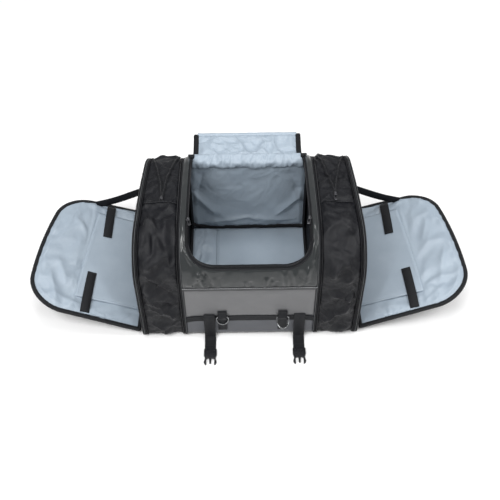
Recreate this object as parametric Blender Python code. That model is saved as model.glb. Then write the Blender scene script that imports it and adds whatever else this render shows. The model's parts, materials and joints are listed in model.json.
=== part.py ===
"""Tail bag for a motorcycle seat: a box-shaped centre compartment with a zipped U-shaped lid, and an
expanding compartment with a fold-down door on each side.

Metres. X runs across the bag, -Y is the front, +Z is up. The origin is the middle of the base, on the
surface that the bag stands on. The lid and both doors stand open: they are modelled closed, and empties
on their hinge axes turn them open.
"""

import math

import bmesh
import bpy
from mathutils import Matrix, Vector

# Side profile of the bag
HALF_DEPTH = 0.180
FRONT_HEIGHT = 0.273
REAR_HEIGHT = 0.236
TOP_RADIUS = 0.077
BASE_RADIUS = 0.018
CROWN = 0.019  # how far the top swells above the straight line between its corners
LEAN = 0.010
SPLIT_Z = 0.045  # where the profile's length is counted from, on the rear face

# Widths, as half widths from the middle
CENTRE_HALF = 0.140
RING_WIDTH = 0.0095  # a seam ring between the centre and a side compartment
FRAME_FRONT = 0.240  # the outer frame's outer face, at the front
FRAME_TOE = 0.041  # how fast that face comes in towards the rear
FRAME_WIDTH = 0.012

# Fabric layers, as depths below the profile
GAP = 0.0003
SHELL = 0.0015
LINING_TOP = 0.0018
LINING_LOW = 0.0026
WEBBING = 0.0015
INSET_RING = 0.006
INSET_FRAME = 0.009

# Lid and its zip
OPENING_HALF = 0.130
OPENING_RADIUS = 0.060
TAPE = 0.0063
HINGE_Y = 0.150
FOLD_Y = 0.080
OPENING_FRONT_Z = 0.2265
EDGE_GAP = 0.0007  # round the faceted edge of the opening
LID_OPEN = math.radians(153)
FOLD_OPEN = math.radians(90)

# Doors
DOOR_INSET = 0.007
DOOR_BORDER = 0.0085
DOOR_LOW = 0.0115
DOOR_AXIS = (0.004, 0.010)  # outwards from the frame's face, and up
DOOR_OPEN = math.radians(70)

# Seams and webbing on the front
YOKE_SEAM_Z = 0.176
LOWER_SEAM_Z = 0.075
BASE_SEAM_Z = 0.010
WEBBING_BAND = (0.060, 0.077)

# D-rings, straps and buckles
RING_SPAN = 0.026
RING_REACH = 0.027
WIRE = 0.0017
RING_AXIS_Z = 0.078
LOOP_HALF = 0.010
FRONT_RINGS = {"left": (-0.060, 0.0), "right": (0.071, math.radians(75))}
REAR_RINGS = {"left": (-0.064, 0.0), "right": (0.064, 0.0)}
STRAP_X = {"left": -0.0885, "right": 0.108}
STRAP_HALF = 0.0125
STRAP_TOP_Z = 0.084
STRAP_END_Y = -0.222
SIDES = {"left": -1, "right": 1}

NYLON = (0.020, 0.021, 0.025)
TARPAULIN = (0.062, 0.064, 0.068)
LINING = (0.42, 0.50, 0.58)
BLACK = (0.012, 0.013, 0.015)
STEEL = (0.62, 0.63, 0.65)
BOARD = (0.10, 0.10, 0.11)

for old in list(bpy.data.objects):
    bpy.data.objects.remove(old, do_unlink=True)

collection = bpy.data.collections.new("tail_bag")
cutters = bpy.data.collections.new("cutters")
for made in (collection, cutters):
    bpy.context.scene.collection.children.link(made)


def fillet(before, corner, after, radius, steps):
    """The arc that rounds a corner, as (y, z) points."""
    into = (before - corner).normalized()
    out = (after - corner).normalized()
    half = into.angle(out) / 2
    centre = corner + (into + out).normalized() * radius / math.sin(half)
    start = corner + into * radius / math.tan(half) - centre
    turn = -(math.pi - 2 * half)
    points = []
    for step in range(steps + 1):
        a = turn * step / steps
        c, s = math.cos(a), math.sin(a)
        points.append(centre + Vector((c * start.x - s * start.y, s * start.x + c * start.y)))
    return points


def side_profile():
    """The closed side outline from the rear face down, under the base, up the front and back over the top."""
    corners = [
        Vector((HALF_DEPTH, 0.0)),
        Vector((-HALF_DEPTH, 0.0)),
        Vector((-HALF_DEPTH + LEAN, FRONT_HEIGHT)),
        Vector((HALF_DEPTH - LEAN, REAR_HEIGHT)),
    ]
    radii = (BASE_RADIUS, BASE_RADIUS, TOP_RADIUS, TOP_RADIUS)
    arcs = []
    for i, (corner, radius) in enumerate(zip(corners, radii)):
        arcs.append(fillet(corners[i - 1], corner, corners[(i + 1) % 4], radius, max(4, round(radius * 130))))
    front, rear = arcs[2][-1], arcs[3][0]
    top = [front.lerp(rear, k / 8) for k in range(1, 8)]
    start = Vector((HALF_DEPTH - LEAN * SPLIT_Z / REAR_HEIGHT, SPLIT_Z))
    points = [start] + arcs[0] + arcs[1] + arcs[2] + top + arcs[3]
    swollen = []
    for p in points:
        t = (p.x + HALF_DEPTH) / (2 * HALF_DEPTH)
        rise = CROWN * 4 * t * (1 - t) * min(max((p.y - 0.06) / 0.1, 0), 1)
        swollen.append(Vector((p.x, p.y + rise)))
    return swollen


OUTLINE = side_profile()


def mitre(i):
    """Inward direction at a corner of the outline, scaled so that every edge moves in by the same depth."""
    here = OUTLINE[i]
    before = (here - OUTLINE[i - 1]).normalized()
    after = (OUTLINE[(i + 1) % len(OUTLINE)] - here).normalized()
    inward = [Vector((v.y, -v.x)) for v in (before, after)]
    both = (inward[0] + inward[1]).normalized()
    return both / both.dot(inward[0])


MITRES = [mitre(i) for i in range(len(OUTLINE))]
STATIONS = [0.0]
for one, two in zip(OUTLINE, OUTLINE[1:] + OUTLINE[:1]):
    STATIONS.append(STATIONS[-1] + (two - one).length)


def at(station, depth):
    """The (y, z) point at a length along the profile, at a depth below it."""
    i = max(k for k in range(len(OUTLINE)) if STATIONS[k] <= station + 1e-9)
    t = (station - STATIONS[i]) / (STATIONS[i + 1] - STATIONS[i])
    j = (i + 1) % len(OUTLINE)
    one = OUTLINE[i] + MITRES[i] * depth
    two = OUTLINE[j] + MITRES[j] * depth
    return one.lerp(two, min(max(t, 0.0), 1.0))


def first_station(test, start=0.0):
    """The first length along the profile after start, in steps of 0.2 mm, whose point passes the test."""
    count = int((STATIONS[-1] - start) / 0.0002)
    return next(start + k * 0.0002 for k in range(count) if test(at(start + k * 0.0002, 0.0)))


def up_front(z):
    return first_station(lambda p: p.x < 0 and p.y >= z)


def along_top(y):
    return first_station(lambda p: p.y > 0.2 and p.x >= y)


def down_rear(z):
    return first_station(lambda p: p.y <= z, along_top(HINGE_Y))


def rows(low, high):
    """The profile's own corners between two lengths, with both ends."""
    return [low] + [s for s in STATIONS if low + 0.001 < s < high - 0.001] + [high]


def finish(name, mesh, colour, roughness=0.8, metallic=0.0, owner=collection):
    obj = bpy.data.objects.new(name, mesh)
    owner.objects.link(obj)
    material = bpy.data.materials.new(name)
    material.use_nodes = True
    shader = material.node_tree.nodes["Principled BSDF"]
    shader.inputs["Base Color"].default_value = (*colour, 1)
    shader.inputs["Roughness"].default_value = roughness
    shader.inputs["Metallic"].default_value = metallic
    mesh.materials.clear()
    mesh.materials.append(material)
    return obj


def loft(name, sections, colour, closed=False, owner=collection, **look):
    """A closed solid through sections that are loops of points, with flat ends unless it closes on itself."""
    bm = bmesh.new()
    loops = [[bm.verts.new(p) for p in section] for section in sections]
    pairs = list(zip(loops, loops[1:]))
    if closed:
        pairs.append((loops[-1], loops[0]))
    else:
        bm.faces.new(loops[0])
        bm.faces.new(loops[-1])
    for one, two in pairs:
        for i in range(len(one)):
            j = (i + 1) % len(one)
            bm.faces.new((one[i], one[j], two[j], two[i]))
    bmesh.ops.recalc_face_normals(bm, faces=bm.faces)
    mesh = bpy.data.meshes.new(name)
    bm.to_mesh(mesh)
    bm.free()
    return finish(name, mesh, colour, owner=owner, **look)


def band(name, pairs, depths, colour, **look):
    """A strip on the profile's surface. Each pair holds its two edge points, as (x, station)."""
    sections = []
    for one, two in pairs:
        section = []
        for (x, station), depth in ((one, depths[0]), (two, depths[0]), (two, depths[1]), (one, depths[1])):
            y, z = at(station, depth)
            section.append((x, y, max(z, 0.0)))
        sections.append(section)
    return loft(name, sections, colour, **look)


def sheet(name, low, high, half, depths, colour, **look):
    """A strip across the bag between two lengths along the profile. half may change with the length."""
    width = half if callable(half) else lambda station: half
    return band(name, [((-width(s), s), (width(s), s)) for s in rows(low, high)], depths, colour, **look)


def outline_ring(name, faces, depths, colour, low=0.0, **look):
    """A ring round the whole profile. faces gives its two X positions for a given y."""
    sections = []
    for s in STATIONS[:-1]:
        section = []
        for face, depth in ((0, 0), (1, 0), (1, 1), (0, 1)):
            y, z = at(s, depths[depth])
            section.append((faces(y)[face], y, max(z, low)))
        sections.append(section)
    return loft(name, sections, colour, closed=True, **look)


def plate(name, faces, outline, colour, **look):
    """A flat panel with the given (y, z) outline. faces gives its two X positions for a given y."""
    sections = [[(faces(y)[face], y, z) for y, z in outline] for face in (0, 1)]
    return loft(name, sections, colour, **look)


def inset_outline(depth, low=0.0):
    points = [at(s, depth) for s in STATIONS[:-1]]
    kept = []
    for y, z in points:
        point = (y, max(z, low))
        if not kept or (Vector(point) - Vector(kept[-1])).length > 0.0005:
            kept.append(point)
    return kept


def ribbon(name, path, thickness, x_low, x_high, colour, **look):
    """Webbing whose middle line follows (y, z) points, with straight edges at two X positions."""
    sections = []
    for i, p in enumerate(path):
        before = Vector(path[max(i - 1, 0)])
        after = Vector(path[min(i + 1, len(path) - 1)])
        along = (after - before).normalized()
        across = Vector((along.y, -along.x)) * thickness / 2
        low, high = Vector(p) - across, Vector(p) + across
        sections.append([(x_low, *low), (x_high, *low), (x_high, *high), (x_low, *high)])
    return loft(name, sections, colour, **look)


def frame_face(side, y):
    """X of a side frame's outer face."""
    return side * (FRAME_FRONT - FRAME_TOE * (y + HALF_DEPTH))


def pivot(name, place, axis, angle, parent=None, inverse=None):
    """An empty on a joint's axis, turned from the closed to the open pose."""
    empty = bpy.data.objects.new(name, None)
    collection.objects.link(empty)
    empty.rotation_mode = "QUATERNION"
    empty.location = place
    empty.rotation_quaternion = Matrix.Rotation(angle, 3, axis).to_quaternion()
    if parent:
        empty.parent = parent
        empty.matrix_parent_inverse = inverse
    return empty, Matrix.Translation(-Vector(place))


def hang(objects, empty, inverse):
    for obj in objects:
        obj.parent = empty
        obj.matrix_parent_inverse = inverse


# Lengths along the profile
S_BASE = up_front(BASE_SEAM_Z)
S_LOWER = up_front(LOWER_SEAM_Z)
S_YOKE = up_front(YOKE_SEAM_Z)
S_FRONT = up_front(OPENING_FRONT_Z)
S_FOLD = along_top(FOLD_Y)
S_HINGE = along_top(HINGE_Y)
S_END = STATIONS[-1]


def narrowing(half, radius, front):
    """Half width of a U-shaped panel whose front corners are rounded."""

    def width(station):
        into = radius - (station - front)
        if into <= 0:
            return half
        return half - radius + math.sqrt(max(radius**2 - into**2, 0.0))

    return width


def u_rows(front, radius, rear):
    """Stations of a U-shaped panel, closer together in its rounded corners."""
    turn = [front + radius * (1 - math.cos(k * math.pi / 16)) for k in range(8)]
    return turn + rows(front + radius, rear)


def u_panel(name, half, radius, front, rear, depths, colour, **look):
    width = narrowing(half, radius, front)
    pairs = [((-width(s), s), (width(s), s)) for s in u_rows(front, radius, rear)]
    return band(name, pairs, depths, colour, **look)


def u_tape(name, half, radius, front, rear, width, depths, colour, **look):
    """Zip tape along a U-shaped edge: down one leg, round the front and back."""
    legs = rows(front + radius, rear)
    pairs = [((-half, s), (-half + width, s)) for s in reversed(legs)]
    centre = half - radius
    for side, turns in ((-1, range(1, 9)), (1, range(8, 0, -1))):
        for k in turns:
            a = k * math.pi / 16
            edge = []
            for r in (radius, radius - width):
                edge.append((side * (centre + r * math.cos(a)), front + radius - r * math.sin(a)))
            pairs.append(tuple(edge))
    pairs += [((half, s), (half - width, s)) for s in legs]
    return band(name, pairs, depths, colour, **look)


def make_base():
    sheet("base_panel", 0.0, S_BASE - GAP, CENTRE_HALF, (0.0, SHELL), NYLON)
    flat = HALF_DEPTH - BASE_RADIUS - 0.004
    for name, low, high, reach, colour in (
        ("base_board", 0.0018, 0.0043, 0.0, BOARD),
        ("floor_lining", 0.0046, 0.0056, 0.004, LINING),
    ):
        outline = [(-flat + reach, low), (flat - reach, low), (flat - reach, high), (-flat + reach, high)]
        plate(name, lambda y: (-0.1385, 0.1385), outline, colour)


def make_walls():
    sheet("lower_front_panel", S_BASE, S_LOWER - GAP, CENTRE_HALF, (0.0, SHELL), TARPAULIN, roughness=0.6)
    sheet("front_panel", S_LOWER, S_YOKE - GAP, CENTRE_HALF, (0.0, SHELL), TARPAULIN, roughness=0.35)
    rear_start = S_HINGE + 0.001
    sheet("rear_panel", rear_start, S_END - GAP, CENTRE_HALF, (0.0, SHELL), TARPAULIN, roughness=0.4)
    yoke = sheet("top_yoke", S_YOKE, S_HINGE, CENTRE_HALF, (0.0, SHELL), TARPAULIN, roughness=0.35)
    cutter = u_panel(
        "opening_cutter", OPENING_HALF, OPENING_RADIUS, S_FRONT, S_HINGE + 0.004, (-0.01, 0.012), BLACK,
        owner=cutters,
    )
    cutter.hide_render = True
    cutter.display_type = "WIRE"
    cut = yoke.modifiers.new("opening", "BOOLEAN")
    cut.object = cutter
    cut.operation = "DIFFERENCE"
    front_top = S_FRONT - 0.004
    sheet("front_lining", S_LOWER, front_top, 0.1385, (LINING_TOP, LINING_LOW), LINING)
    path = [(0.1475, 0.2195), (0.1450, 0.170), (0.1400, 0.090), (0.1335, 0.030), (0.1310, 0.0095)]
    ribbon("rear_lining", path, 0.0012, -0.1385, 0.1385, LINING)


def make_webbing():
    z_low, z_high = WEBBING_BAND
    depths = (-GAP - WEBBING, -GAP)
    sheet("front_webbing", up_front(z_low), up_front(z_high), CENTRE_HALF, depths, BLACK)
    sheet("rear_webbing", down_rear(z_high), down_rear(z_low), CENTRE_HALF, depths, BLACK)


def make_centre_sides():
    for label, side in SIDES.items():
        inner = side * (CENTRE_HALF + GAP)
        outer = side * (CENTRE_HALF + RING_WIDTH)
        outline_ring(f"{label}_seam_ring", lambda y: (inner, outer), (-0.002, INSET_RING), BLACK)
        low, high = side * (CENTRE_HALF + 0.0015), side * (CENTRE_HALF + 0.0030)
        plate(f"{label}_divider", lambda y: (low, high), inset_outline(INSET_RING + GAP, 0.0063), NYLON)


def make_side(label, side):
    inner = side * (CENTRE_HALF + RING_WIDTH + GAP)

    def face(offset):
        return lambda y: frame_face(side, y) + side * offset

    gusset_end = face(-FRAME_WIDTH - GAP)
    outline_ring(f"{label}_gusset", lambda y: (inner, gusset_end(y)), (0.0010, 0.0024), NYLON)
    outline_ring(
        f"{label}_frame", lambda y: (face(-FRAME_WIDTH)(y), face(0.0)(y)), (-0.002, INSET_FRAME), BLACK
    )
    apex = (side * 0.183, along_top(-0.012))
    s_rear = along_top(0.138)
    pairs = []
    for end, stations in ((0.155, rows(apex[1], s_rear)[::-1]), (0.210, rows(apex[1], s_rear))):
        for s in stations:
            t = (s - apex[1]) / (s_rear - apex[1])
            x = apex[0] + (side * end - apex[0]) * t
            out = -0.004 if end < abs(apex[0]) else 0.004
            if t > 0.04:
                pairs.append(((x + side * out, s), (x, s)))
        if end < abs(apex[0]):
            pairs.append(((apex[0], apex[1] - 0.006), (apex[0], apex[1] + 0.004)))
    band(f"{label}_expansion_zip", pairs, (-0.0006, 0.0006), BLACK)
    zip_slider(f"{label}_expansion_slider", apex[0], apex[1])
    return face


def zip_slider(name, x, station):
    """A zip slider with its pull tab: the tab lies forwards, raised clear of the tape."""
    tangent = (at(station + 0.004, 0) - at(station - 0.004, 0)).normalized()
    up = Vector((-tangent.y, tangent.x))
    middle = at(station, 0.0)
    outline = [
        (-0.0045, 0.0012),
        (0.0045, 0.0012),
        (0.0045, 0.0044),
        (-0.0020, 0.0052),
        (-0.0240, 0.0050),
        (-0.0260, 0.0042),
        (-0.0240, 0.0034),
        (-0.0045, 0.0036),
    ]
    sections = []
    for offset in (-0.0032, 0.0032):
        section = []
        for along, height in outline:
            y, z = middle + tangent * along + up * height
            section.append((x + offset, y, z))
        sections.append(section)
    return loft(name, sections, STEEL, roughness=0.3, metallic=1.0)


def make_door(label, side, face):
    """A door: outer shell, stiffening board and lining inside a bound edge, with its pocket and straps."""
    axis_x, axis_z = DOOR_AXIS

    def layer(low, high):
        return lambda y: (face(low)(y), face(high)(y))

    inner = DOOR_INSET + DOOR_BORDER + GAP
    border = (DOOR_INSET, DOOR_INSET + DOOR_BORDER)
    low = DOOR_LOW + DOOR_BORDER + GAP
    made = [door_binding(label, layer(0.0005, 0.0075), border)]
    for name, faces, colour in (
        ("door_shell", (0.0058, 0.0074), NYLON),
        ("door_board", (0.0034, 0.0055), BOARD),
        ("door_lining", (0.0022, 0.0031), LINING),
    ):
        made.append(plate(f"{label}_{name}", layer(*faces), inset_outline(inner, low), colour))
    pocket = [(-0.120, 0.024), (0.130, 0.024), (0.131, 0.150), (-0.117, 0.170)]
    made.append(plate(f"{label}_door_pocket", layer(0.0010, 0.0019), pocket, LINING))
    for name, y_low, y_high, z_low, z_high in (
        ("rear", 0.060, 0.1555, 0.110, 0.131),
        ("front", -0.1555, -0.050, 0.130, 0.152),
    ):
        outline = [(y_low, z_low), (y_high, z_low), (y_high, z_high), (y_low, z_high)]
        strap = plate(f"{label}_door_{name}_strap", layer(-0.0006, 0.0007), outline, BLACK)
        made.append(strap)
    axis = Vector((-side * FRAME_TOE, 1.0, 0.0)).normalized()
    empty, inverse = pivot(
        f"{label}_door_pivot", (face(axis_x)(0.0), 0.0, axis_z), axis, side * DOOR_OPEN
    )
    hang(made, empty, inverse)
    return empty, inverse


def door_binding(label, faces, depths):
    """The bound edge that frames a door, straight along its hinge."""
    sections = []
    for s in STATIONS[:-1]:
        section = []
        for face, depth in ((0, 0), (1, 0), (1, 1), (0, 1)):
            y, z = at(s, depths[depth])
            section.append((faces(y)[face], y, max(z, DOOR_LOW + depth * DOOR_BORDER)))
        sections.append(section)
    return loft(f"{label}_door_binding", sections, BLACK, closed=True)


def make_check_strap(label, side, face):
    """The webbing that holds a door's rear edge when it is open."""
    axis_x, axis_z = DOOR_AXIS
    open_angle = math.pi / 2 - DOOR_OPEN
    y = 0.1600
    corners = []
    for height in (0.138, 0.160):
        up = 0.0046
        x = face(axis_x)(y) + side * (height * math.cos(open_angle) - up * math.sin(open_angle))
        corners.append((x, axis_z + height * math.sin(open_angle) + up * math.cos(open_angle)))
    for z in (0.134, 0.112):
        corners.append((face(GAP + 0.0003)(y), z))
    sections = [[(x, y + offset, z) for x, z in corners] for offset in (0.0, 0.0012)]
    loft(f"{label}_check_strap", sections, BLACK)


def make_door_slider(label, face):
    """The door zip's slider, parked at the bottom of the frame's rear."""
    y = HALF_DEPTH + 0.0040
    outline = [(0.0, 0.052), (0.0034, 0.052), (0.0034, 0.040), (0.0026, 0.028), (0.0008, 0.028), (0.0, 0.040)]
    sections = []
    for offset in (-0.0030, -0.0090):
        sections.append([(face(offset)(y), y - 0.0005 + out, z) for out, z in outline])
    loft(f"{label}_door_slider", sections, STEEL, roughness=0.3, metallic=1.0)


def make_lid():
    strip_half = OPENING_HALF - TAPE - GAP
    panel_half = strip_half - TAPE - GAP
    tape_front = S_FRONT + TAPE + GAP
    panel_front = tape_front + TAPE + GAP
    depths = (0.0002, 0.0013)
    u_tape(
        "opening_zip_tape", OPENING_HALF - EDGE_GAP, OPENING_RADIUS - EDGE_GAP, S_FRONT + EDGE_GAP, S_HINGE,
        TAPE - EDGE_GAP, depths, BLACK,
    )
    strip = sheet(
        "lid_hinge_strip", S_FOLD, S_HINGE - 0.001, strip_half, (0.0, SHELL), TARPAULIN, roughness=0.4
    )
    radius = OPENING_RADIUS - 2 * (TAPE + GAP)
    panel = u_panel(
        "lid_panel", panel_half, radius, panel_front, S_FOLD - 0.001, (0.0, SHELL), TARPAULIN, roughness=0.35
    )
    lining = u_panel(
        "lid_lining", panel_half - 0.002, radius - 0.002, panel_front + 0.002, S_FOLD - 0.003,
        (LINING_TOP, LINING_LOW), LINING,
    )
    tape = u_tape(
        "lid_zip_tape", strip_half, OPENING_RADIUS - TAPE - GAP, tape_front, S_FOLD - 0.001, TAPE,
        depths, BLACK,
    )
    hinge_y, hinge_z = at(S_HINGE, 0.0)
    fold_y, fold_z = at(S_FOLD, 0.0)
    across = Vector((1.0, 0.0, 0.0))
    hinge, inverse = pivot("lid_hinge_pivot", (0.0, hinge_y, hinge_z), across, -LID_OPEN)
    hang([strip], hinge, inverse)
    fold, fold_inverse = pivot("lid_fold_pivot", (0.0, fold_y, fold_z), across, -FOLD_OPEN, hinge, inverse)
    hang([panel, lining, tape], fold, fold_inverse)
    for label, side in SIDES.items():
        zip_slider(f"{label}_lid_slider", side * (OPENING_HALF - TAPE / 2), along_top(-0.075))


def d_ring(name, x, y, z, facing, angle):
    """A wire D-ring whose straight bar lies on the given line across the bag, hanging at rest."""
    steps = 10
    points = [Vector((-RING_SPAN / 2, 0.0, 0.0)), Vector((0.0, 0.0, 0.0)), Vector((RING_SPAN / 2, 0.0, 0.0))]
    for k in range(steps + 1):
        a = math.pi * k / steps
        points.append(Vector((RING_SPAN / 2 * math.cos(a), 0.0, -0.004 - (RING_REACH - 0.004) * math.sin(a))))
    curve = bpy.data.curves.new(name, "CURVE")
    curve.dimensions = "3D"
    curve.bevel_depth = WIRE
    curve.bevel_resolution = 2
    spline = curve.splines.new("POLY")
    spline.points.add(len(points) - 1)
    turn = Matrix.Rotation(facing * angle, 3, "X")
    for target, p in zip(spline.points, points):
        target.co = (*(turn @ p), 1)
    spline.use_cyclic_u = True
    ring = finish(name, curve, STEEL, roughness=0.25, metallic=1.0)
    ring.location = (x, y, z)
    return ring


def ring_loop(name, x, y, facing, top):
    """Webbing folded round a D-ring's bar: down the panel, round the bar and back up behind it."""
    axis_y = y + facing * 0.0062
    radius = 0.0030
    path = [(y + facing * 0.0032, top), (y + facing * 0.0032, RING_AXIS_Z + 0.006)]
    for k in range(11):
        a = math.radians(115 - 27 * k)
        path.append((axis_y + facing * radius * math.cos(a), RING_AXIS_Z + radius * math.sin(a)))
    ribbon(name, path, 0.0011, x - LOOP_HALF, x + LOOP_HALF, BLACK)
    return axis_y


def make_rings():
    y_front = at(up_front(RING_AXIS_Z), 0.0).x
    y_rear = at(down_rear(RING_AXIS_Z), 0.0).x
    for place, rings, y, facing, top in (
        ("front", FRONT_RINGS, y_front, -1, 0.094),
        ("rear", REAR_RINGS, y_rear, 1, 0.099),
    ):
        for label, (x, angle) in rings.items():
            axis_y = ring_loop(f"{place}_{label}_ring_loop", x, y, facing, top)
            d_ring(f"{place}_{label}_d_ring", x, axis_y, RING_AXIS_Z, facing, angle)


def make_straps():
    """Webbing sewn to the front: down to the ground, then forwards, with a side-release plug on its end."""
    y = at(up_front(STRAP_TOP_Z), 0.0).x
    for label, x in STRAP_X.items():
        path = [
            (y - 0.0034, STRAP_TOP_Z),
            (y - 0.0042, 0.030),
            (y - 0.0050, 0.012),
            (y - 0.0095, 0.0040),
            (y - 0.0170, 0.0016),
            (STRAP_END_Y, 0.0012),
        ]
        ribbon(f"{label}_tie_strap", path, 0.0014, x - STRAP_HALF, x + STRAP_HALF, BLACK)
        plug(f"{label}_buckle_plug", x, STRAP_END_Y - 0.0015)


def plug(name, x, y):
    """The prong half of a side-release buckle, lying flat: a frame plate, two side prongs and a guide."""
    outline = [
        (0.0135, 0.0), (0.0135, -0.014), (0.0120, -0.016), (0.0132, -0.026), (0.0110, -0.034), (0.0086, -0.034),
        (0.0078, -0.018), (0.0024, -0.018), (0.0020, -0.030),
    ]
    full = outline + [(-across, along) for across, along in reversed(outline)]
    sections = [[(x + across, y + along, z) for across, along in full] for z in (0.0006, 0.0056)]
    loft(name, sections, BLACK, roughness=0.4)


make_base()
make_walls()
make_webbing()
make_centre_sides()
for side_label, side_sign in SIDES.items():
    side_face = make_side(side_label, side_sign)
    make_door(side_label, side_sign, side_face)
    make_check_strap(side_label, side_sign, side_face)
    make_door_slider(side_label, side_face)
make_lid()
make_rings()
make_straps()
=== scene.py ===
"""Looks of the tail bag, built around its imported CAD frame.

Metres, in the CAD's own frame: X across the bag, -Y the front, +Z up. The fabric lies on the bag's side
profile: a place on it is x across, s along the profile and out above its surface.
"""

import json
import math

import bpy
import numpy as np
from mathutils import Matrix, Vector


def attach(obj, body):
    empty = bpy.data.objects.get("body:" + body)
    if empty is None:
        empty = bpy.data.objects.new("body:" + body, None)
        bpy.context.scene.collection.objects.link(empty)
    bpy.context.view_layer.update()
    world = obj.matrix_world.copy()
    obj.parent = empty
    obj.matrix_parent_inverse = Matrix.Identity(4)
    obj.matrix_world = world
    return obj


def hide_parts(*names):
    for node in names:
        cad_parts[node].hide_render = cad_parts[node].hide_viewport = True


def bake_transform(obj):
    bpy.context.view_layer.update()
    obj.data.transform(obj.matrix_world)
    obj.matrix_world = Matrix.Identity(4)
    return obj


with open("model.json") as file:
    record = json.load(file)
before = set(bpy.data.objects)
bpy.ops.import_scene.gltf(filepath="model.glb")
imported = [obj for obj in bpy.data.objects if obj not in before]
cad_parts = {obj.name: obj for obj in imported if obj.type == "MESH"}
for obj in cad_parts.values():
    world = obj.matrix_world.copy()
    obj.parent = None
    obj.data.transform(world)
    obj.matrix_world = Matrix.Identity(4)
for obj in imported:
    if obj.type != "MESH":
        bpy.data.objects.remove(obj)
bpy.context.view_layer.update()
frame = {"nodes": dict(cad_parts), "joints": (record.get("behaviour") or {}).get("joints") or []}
JOINTS = {joint["name"]: joint for joint in frame["joints"]}
SIDES = {"left": -1, "right": 1}

# The side profile and the widths, as the CAD has them
HALF_DEPTH = 0.18
FRONT_HEIGHT = 0.273
REAR_HEIGHT = 0.236
TOP_RADIUS = 0.077
BASE_RADIUS = 0.018
CROWN = 0.019
LEAN = 0.01
SPLIT_Z = 0.045
CENTRE_HALF = 0.14
RING_OUTER = 0.1495
FRAME_FRONT = 0.24
FRAME_TOE = 0.041
FRAME_WIDTH = 0.012
OPENING_HALF = 0.13
OPENING_RADIUS = 0.06
OPENING_FRONT_Z = 0.2265
HINGE_Y = 0.15
FOLD_Y = 0.08
TAPE = 0.0063
LID_OPEN = math.radians(153)
FOLD_OPEN = math.radians(90)
DOOR_OPEN = math.radians(70)
DOOR_LOW = 0.0115
YOKE_SEAM_Z = 0.176
LOWER_SEAM_Z = 0.075
BASE_SEAM_Z = 0.01
WEBBING_BAND = (0.06, 0.077)
STRAP_TOP_Z = 0.084
FRONT_RINGS = {"left": -0.06, "right": 0.071}
REAR_RINGS = {"left": -0.064, "right": 0.064}
RING_AXIS_Z = 0.078
RING_REACH = 0.027
STRAP_X = {"left": -0.0885, "right": 0.108}
STRAP_END_Y = -0.222


# --- camera, light and floor -------------------------------------------------------------------------

CAMERA_DISTANCE = 1.9085
CAMERA_ELEVATION = math.radians(53.0)
CAMERA_YAW = 0.009
CAMERA_ROLL = -0.007
FLOOR_HALF = 8.0


def linked(name, data):
    """A new object in the scene."""
    obj = bpy.data.objects.new(name, data)
    bpy.context.scene.collection.objects.link(obj)
    return obj


def make_camera():
    camera = linked("camera", bpy.data.cameras.new("camera"))
    level = math.cos(CAMERA_ELEVATION)
    back = Vector((-level * math.sin(CAMERA_YAW), -level * math.cos(CAMERA_YAW), math.sin(CAMERA_ELEVATION)))
    camera.location = back * CAMERA_DISTANCE
    aim = (-back).to_track_quat("-Z", "Y").to_matrix().to_4x4()
    camera.rotation_euler = (aim @ Matrix.Rotation(CAMERA_ROLL, 4, "Z")).to_euler()
    camera.data.lens = 57.6
    camera.data.sensor_width = 36.0
    camera.data.shift_x = 0.0022
    camera.data.shift_y = 0.0424
    bpy.context.scene.camera = camera


def area_light(name, place, size, power):
    light = bpy.data.lights.new(name, "AREA")
    light.shape = "RECTANGLE"
    light.size, light.size_y = size
    light.energy = power
    lamp = linked(name, light)
    lamp.location = place
    lamp.rotation_euler = (Vector((0.0, 0.0, 0.1)) - Vector(place)).to_track_quat("-Z", "Y").to_euler()


def make_studio():
    area_light("key", (-1.1, -0.9, 1.9), (0.5, 1.1), 22)
    area_light("right", (1.5, -0.3, 1.5), (0.3, 1.3), 11)
    area_light("left_streak", (-0.5, -1.15, 1.75), (0.07, 0.8), 8)
    area_light("right_streak", (0.62, -1.05, 1.75), (0.07, 0.8), 8)
    area_light("top", (0.1, 0.5, 2.4), (1.4, 0.7), 22)
    world = bpy.data.worlds.new("studio")
    world.use_nodes = True
    background = world.node_tree.nodes["Background"]
    background.inputs["Color"].default_value = (1.0, 1.0, 1.0, 1)
    background.inputs["Strength"].default_value = 0.5
    bpy.context.scene.world = world
    bpy.context.scene.view_settings.view_transform = "Standard"
    mesh = bpy.data.meshes.new("floor")
    corners = [(x * FLOOR_HALF, y * FLOOR_HALF, 0) for x, y in ((-1, -1), (1, -1), (1, 1), (-1, 1))]
    mesh.from_pydata(corners, [], [(0, 1, 2, 3)])
    floor = linked("floor", mesh)
    paint = bpy.data.materials.new("floor")
    paint.use_nodes = True
    shader = paint.node_tree.nodes["Principled BSDF"]
    shader.inputs["Base Color"].default_value = (0.95, 0.95, 0.95, 1)
    shader.inputs["Roughness"].default_value = 0.9
    mesh.materials.append(paint)


# --- materials ---------------------------------------------------------------------------------------


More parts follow.
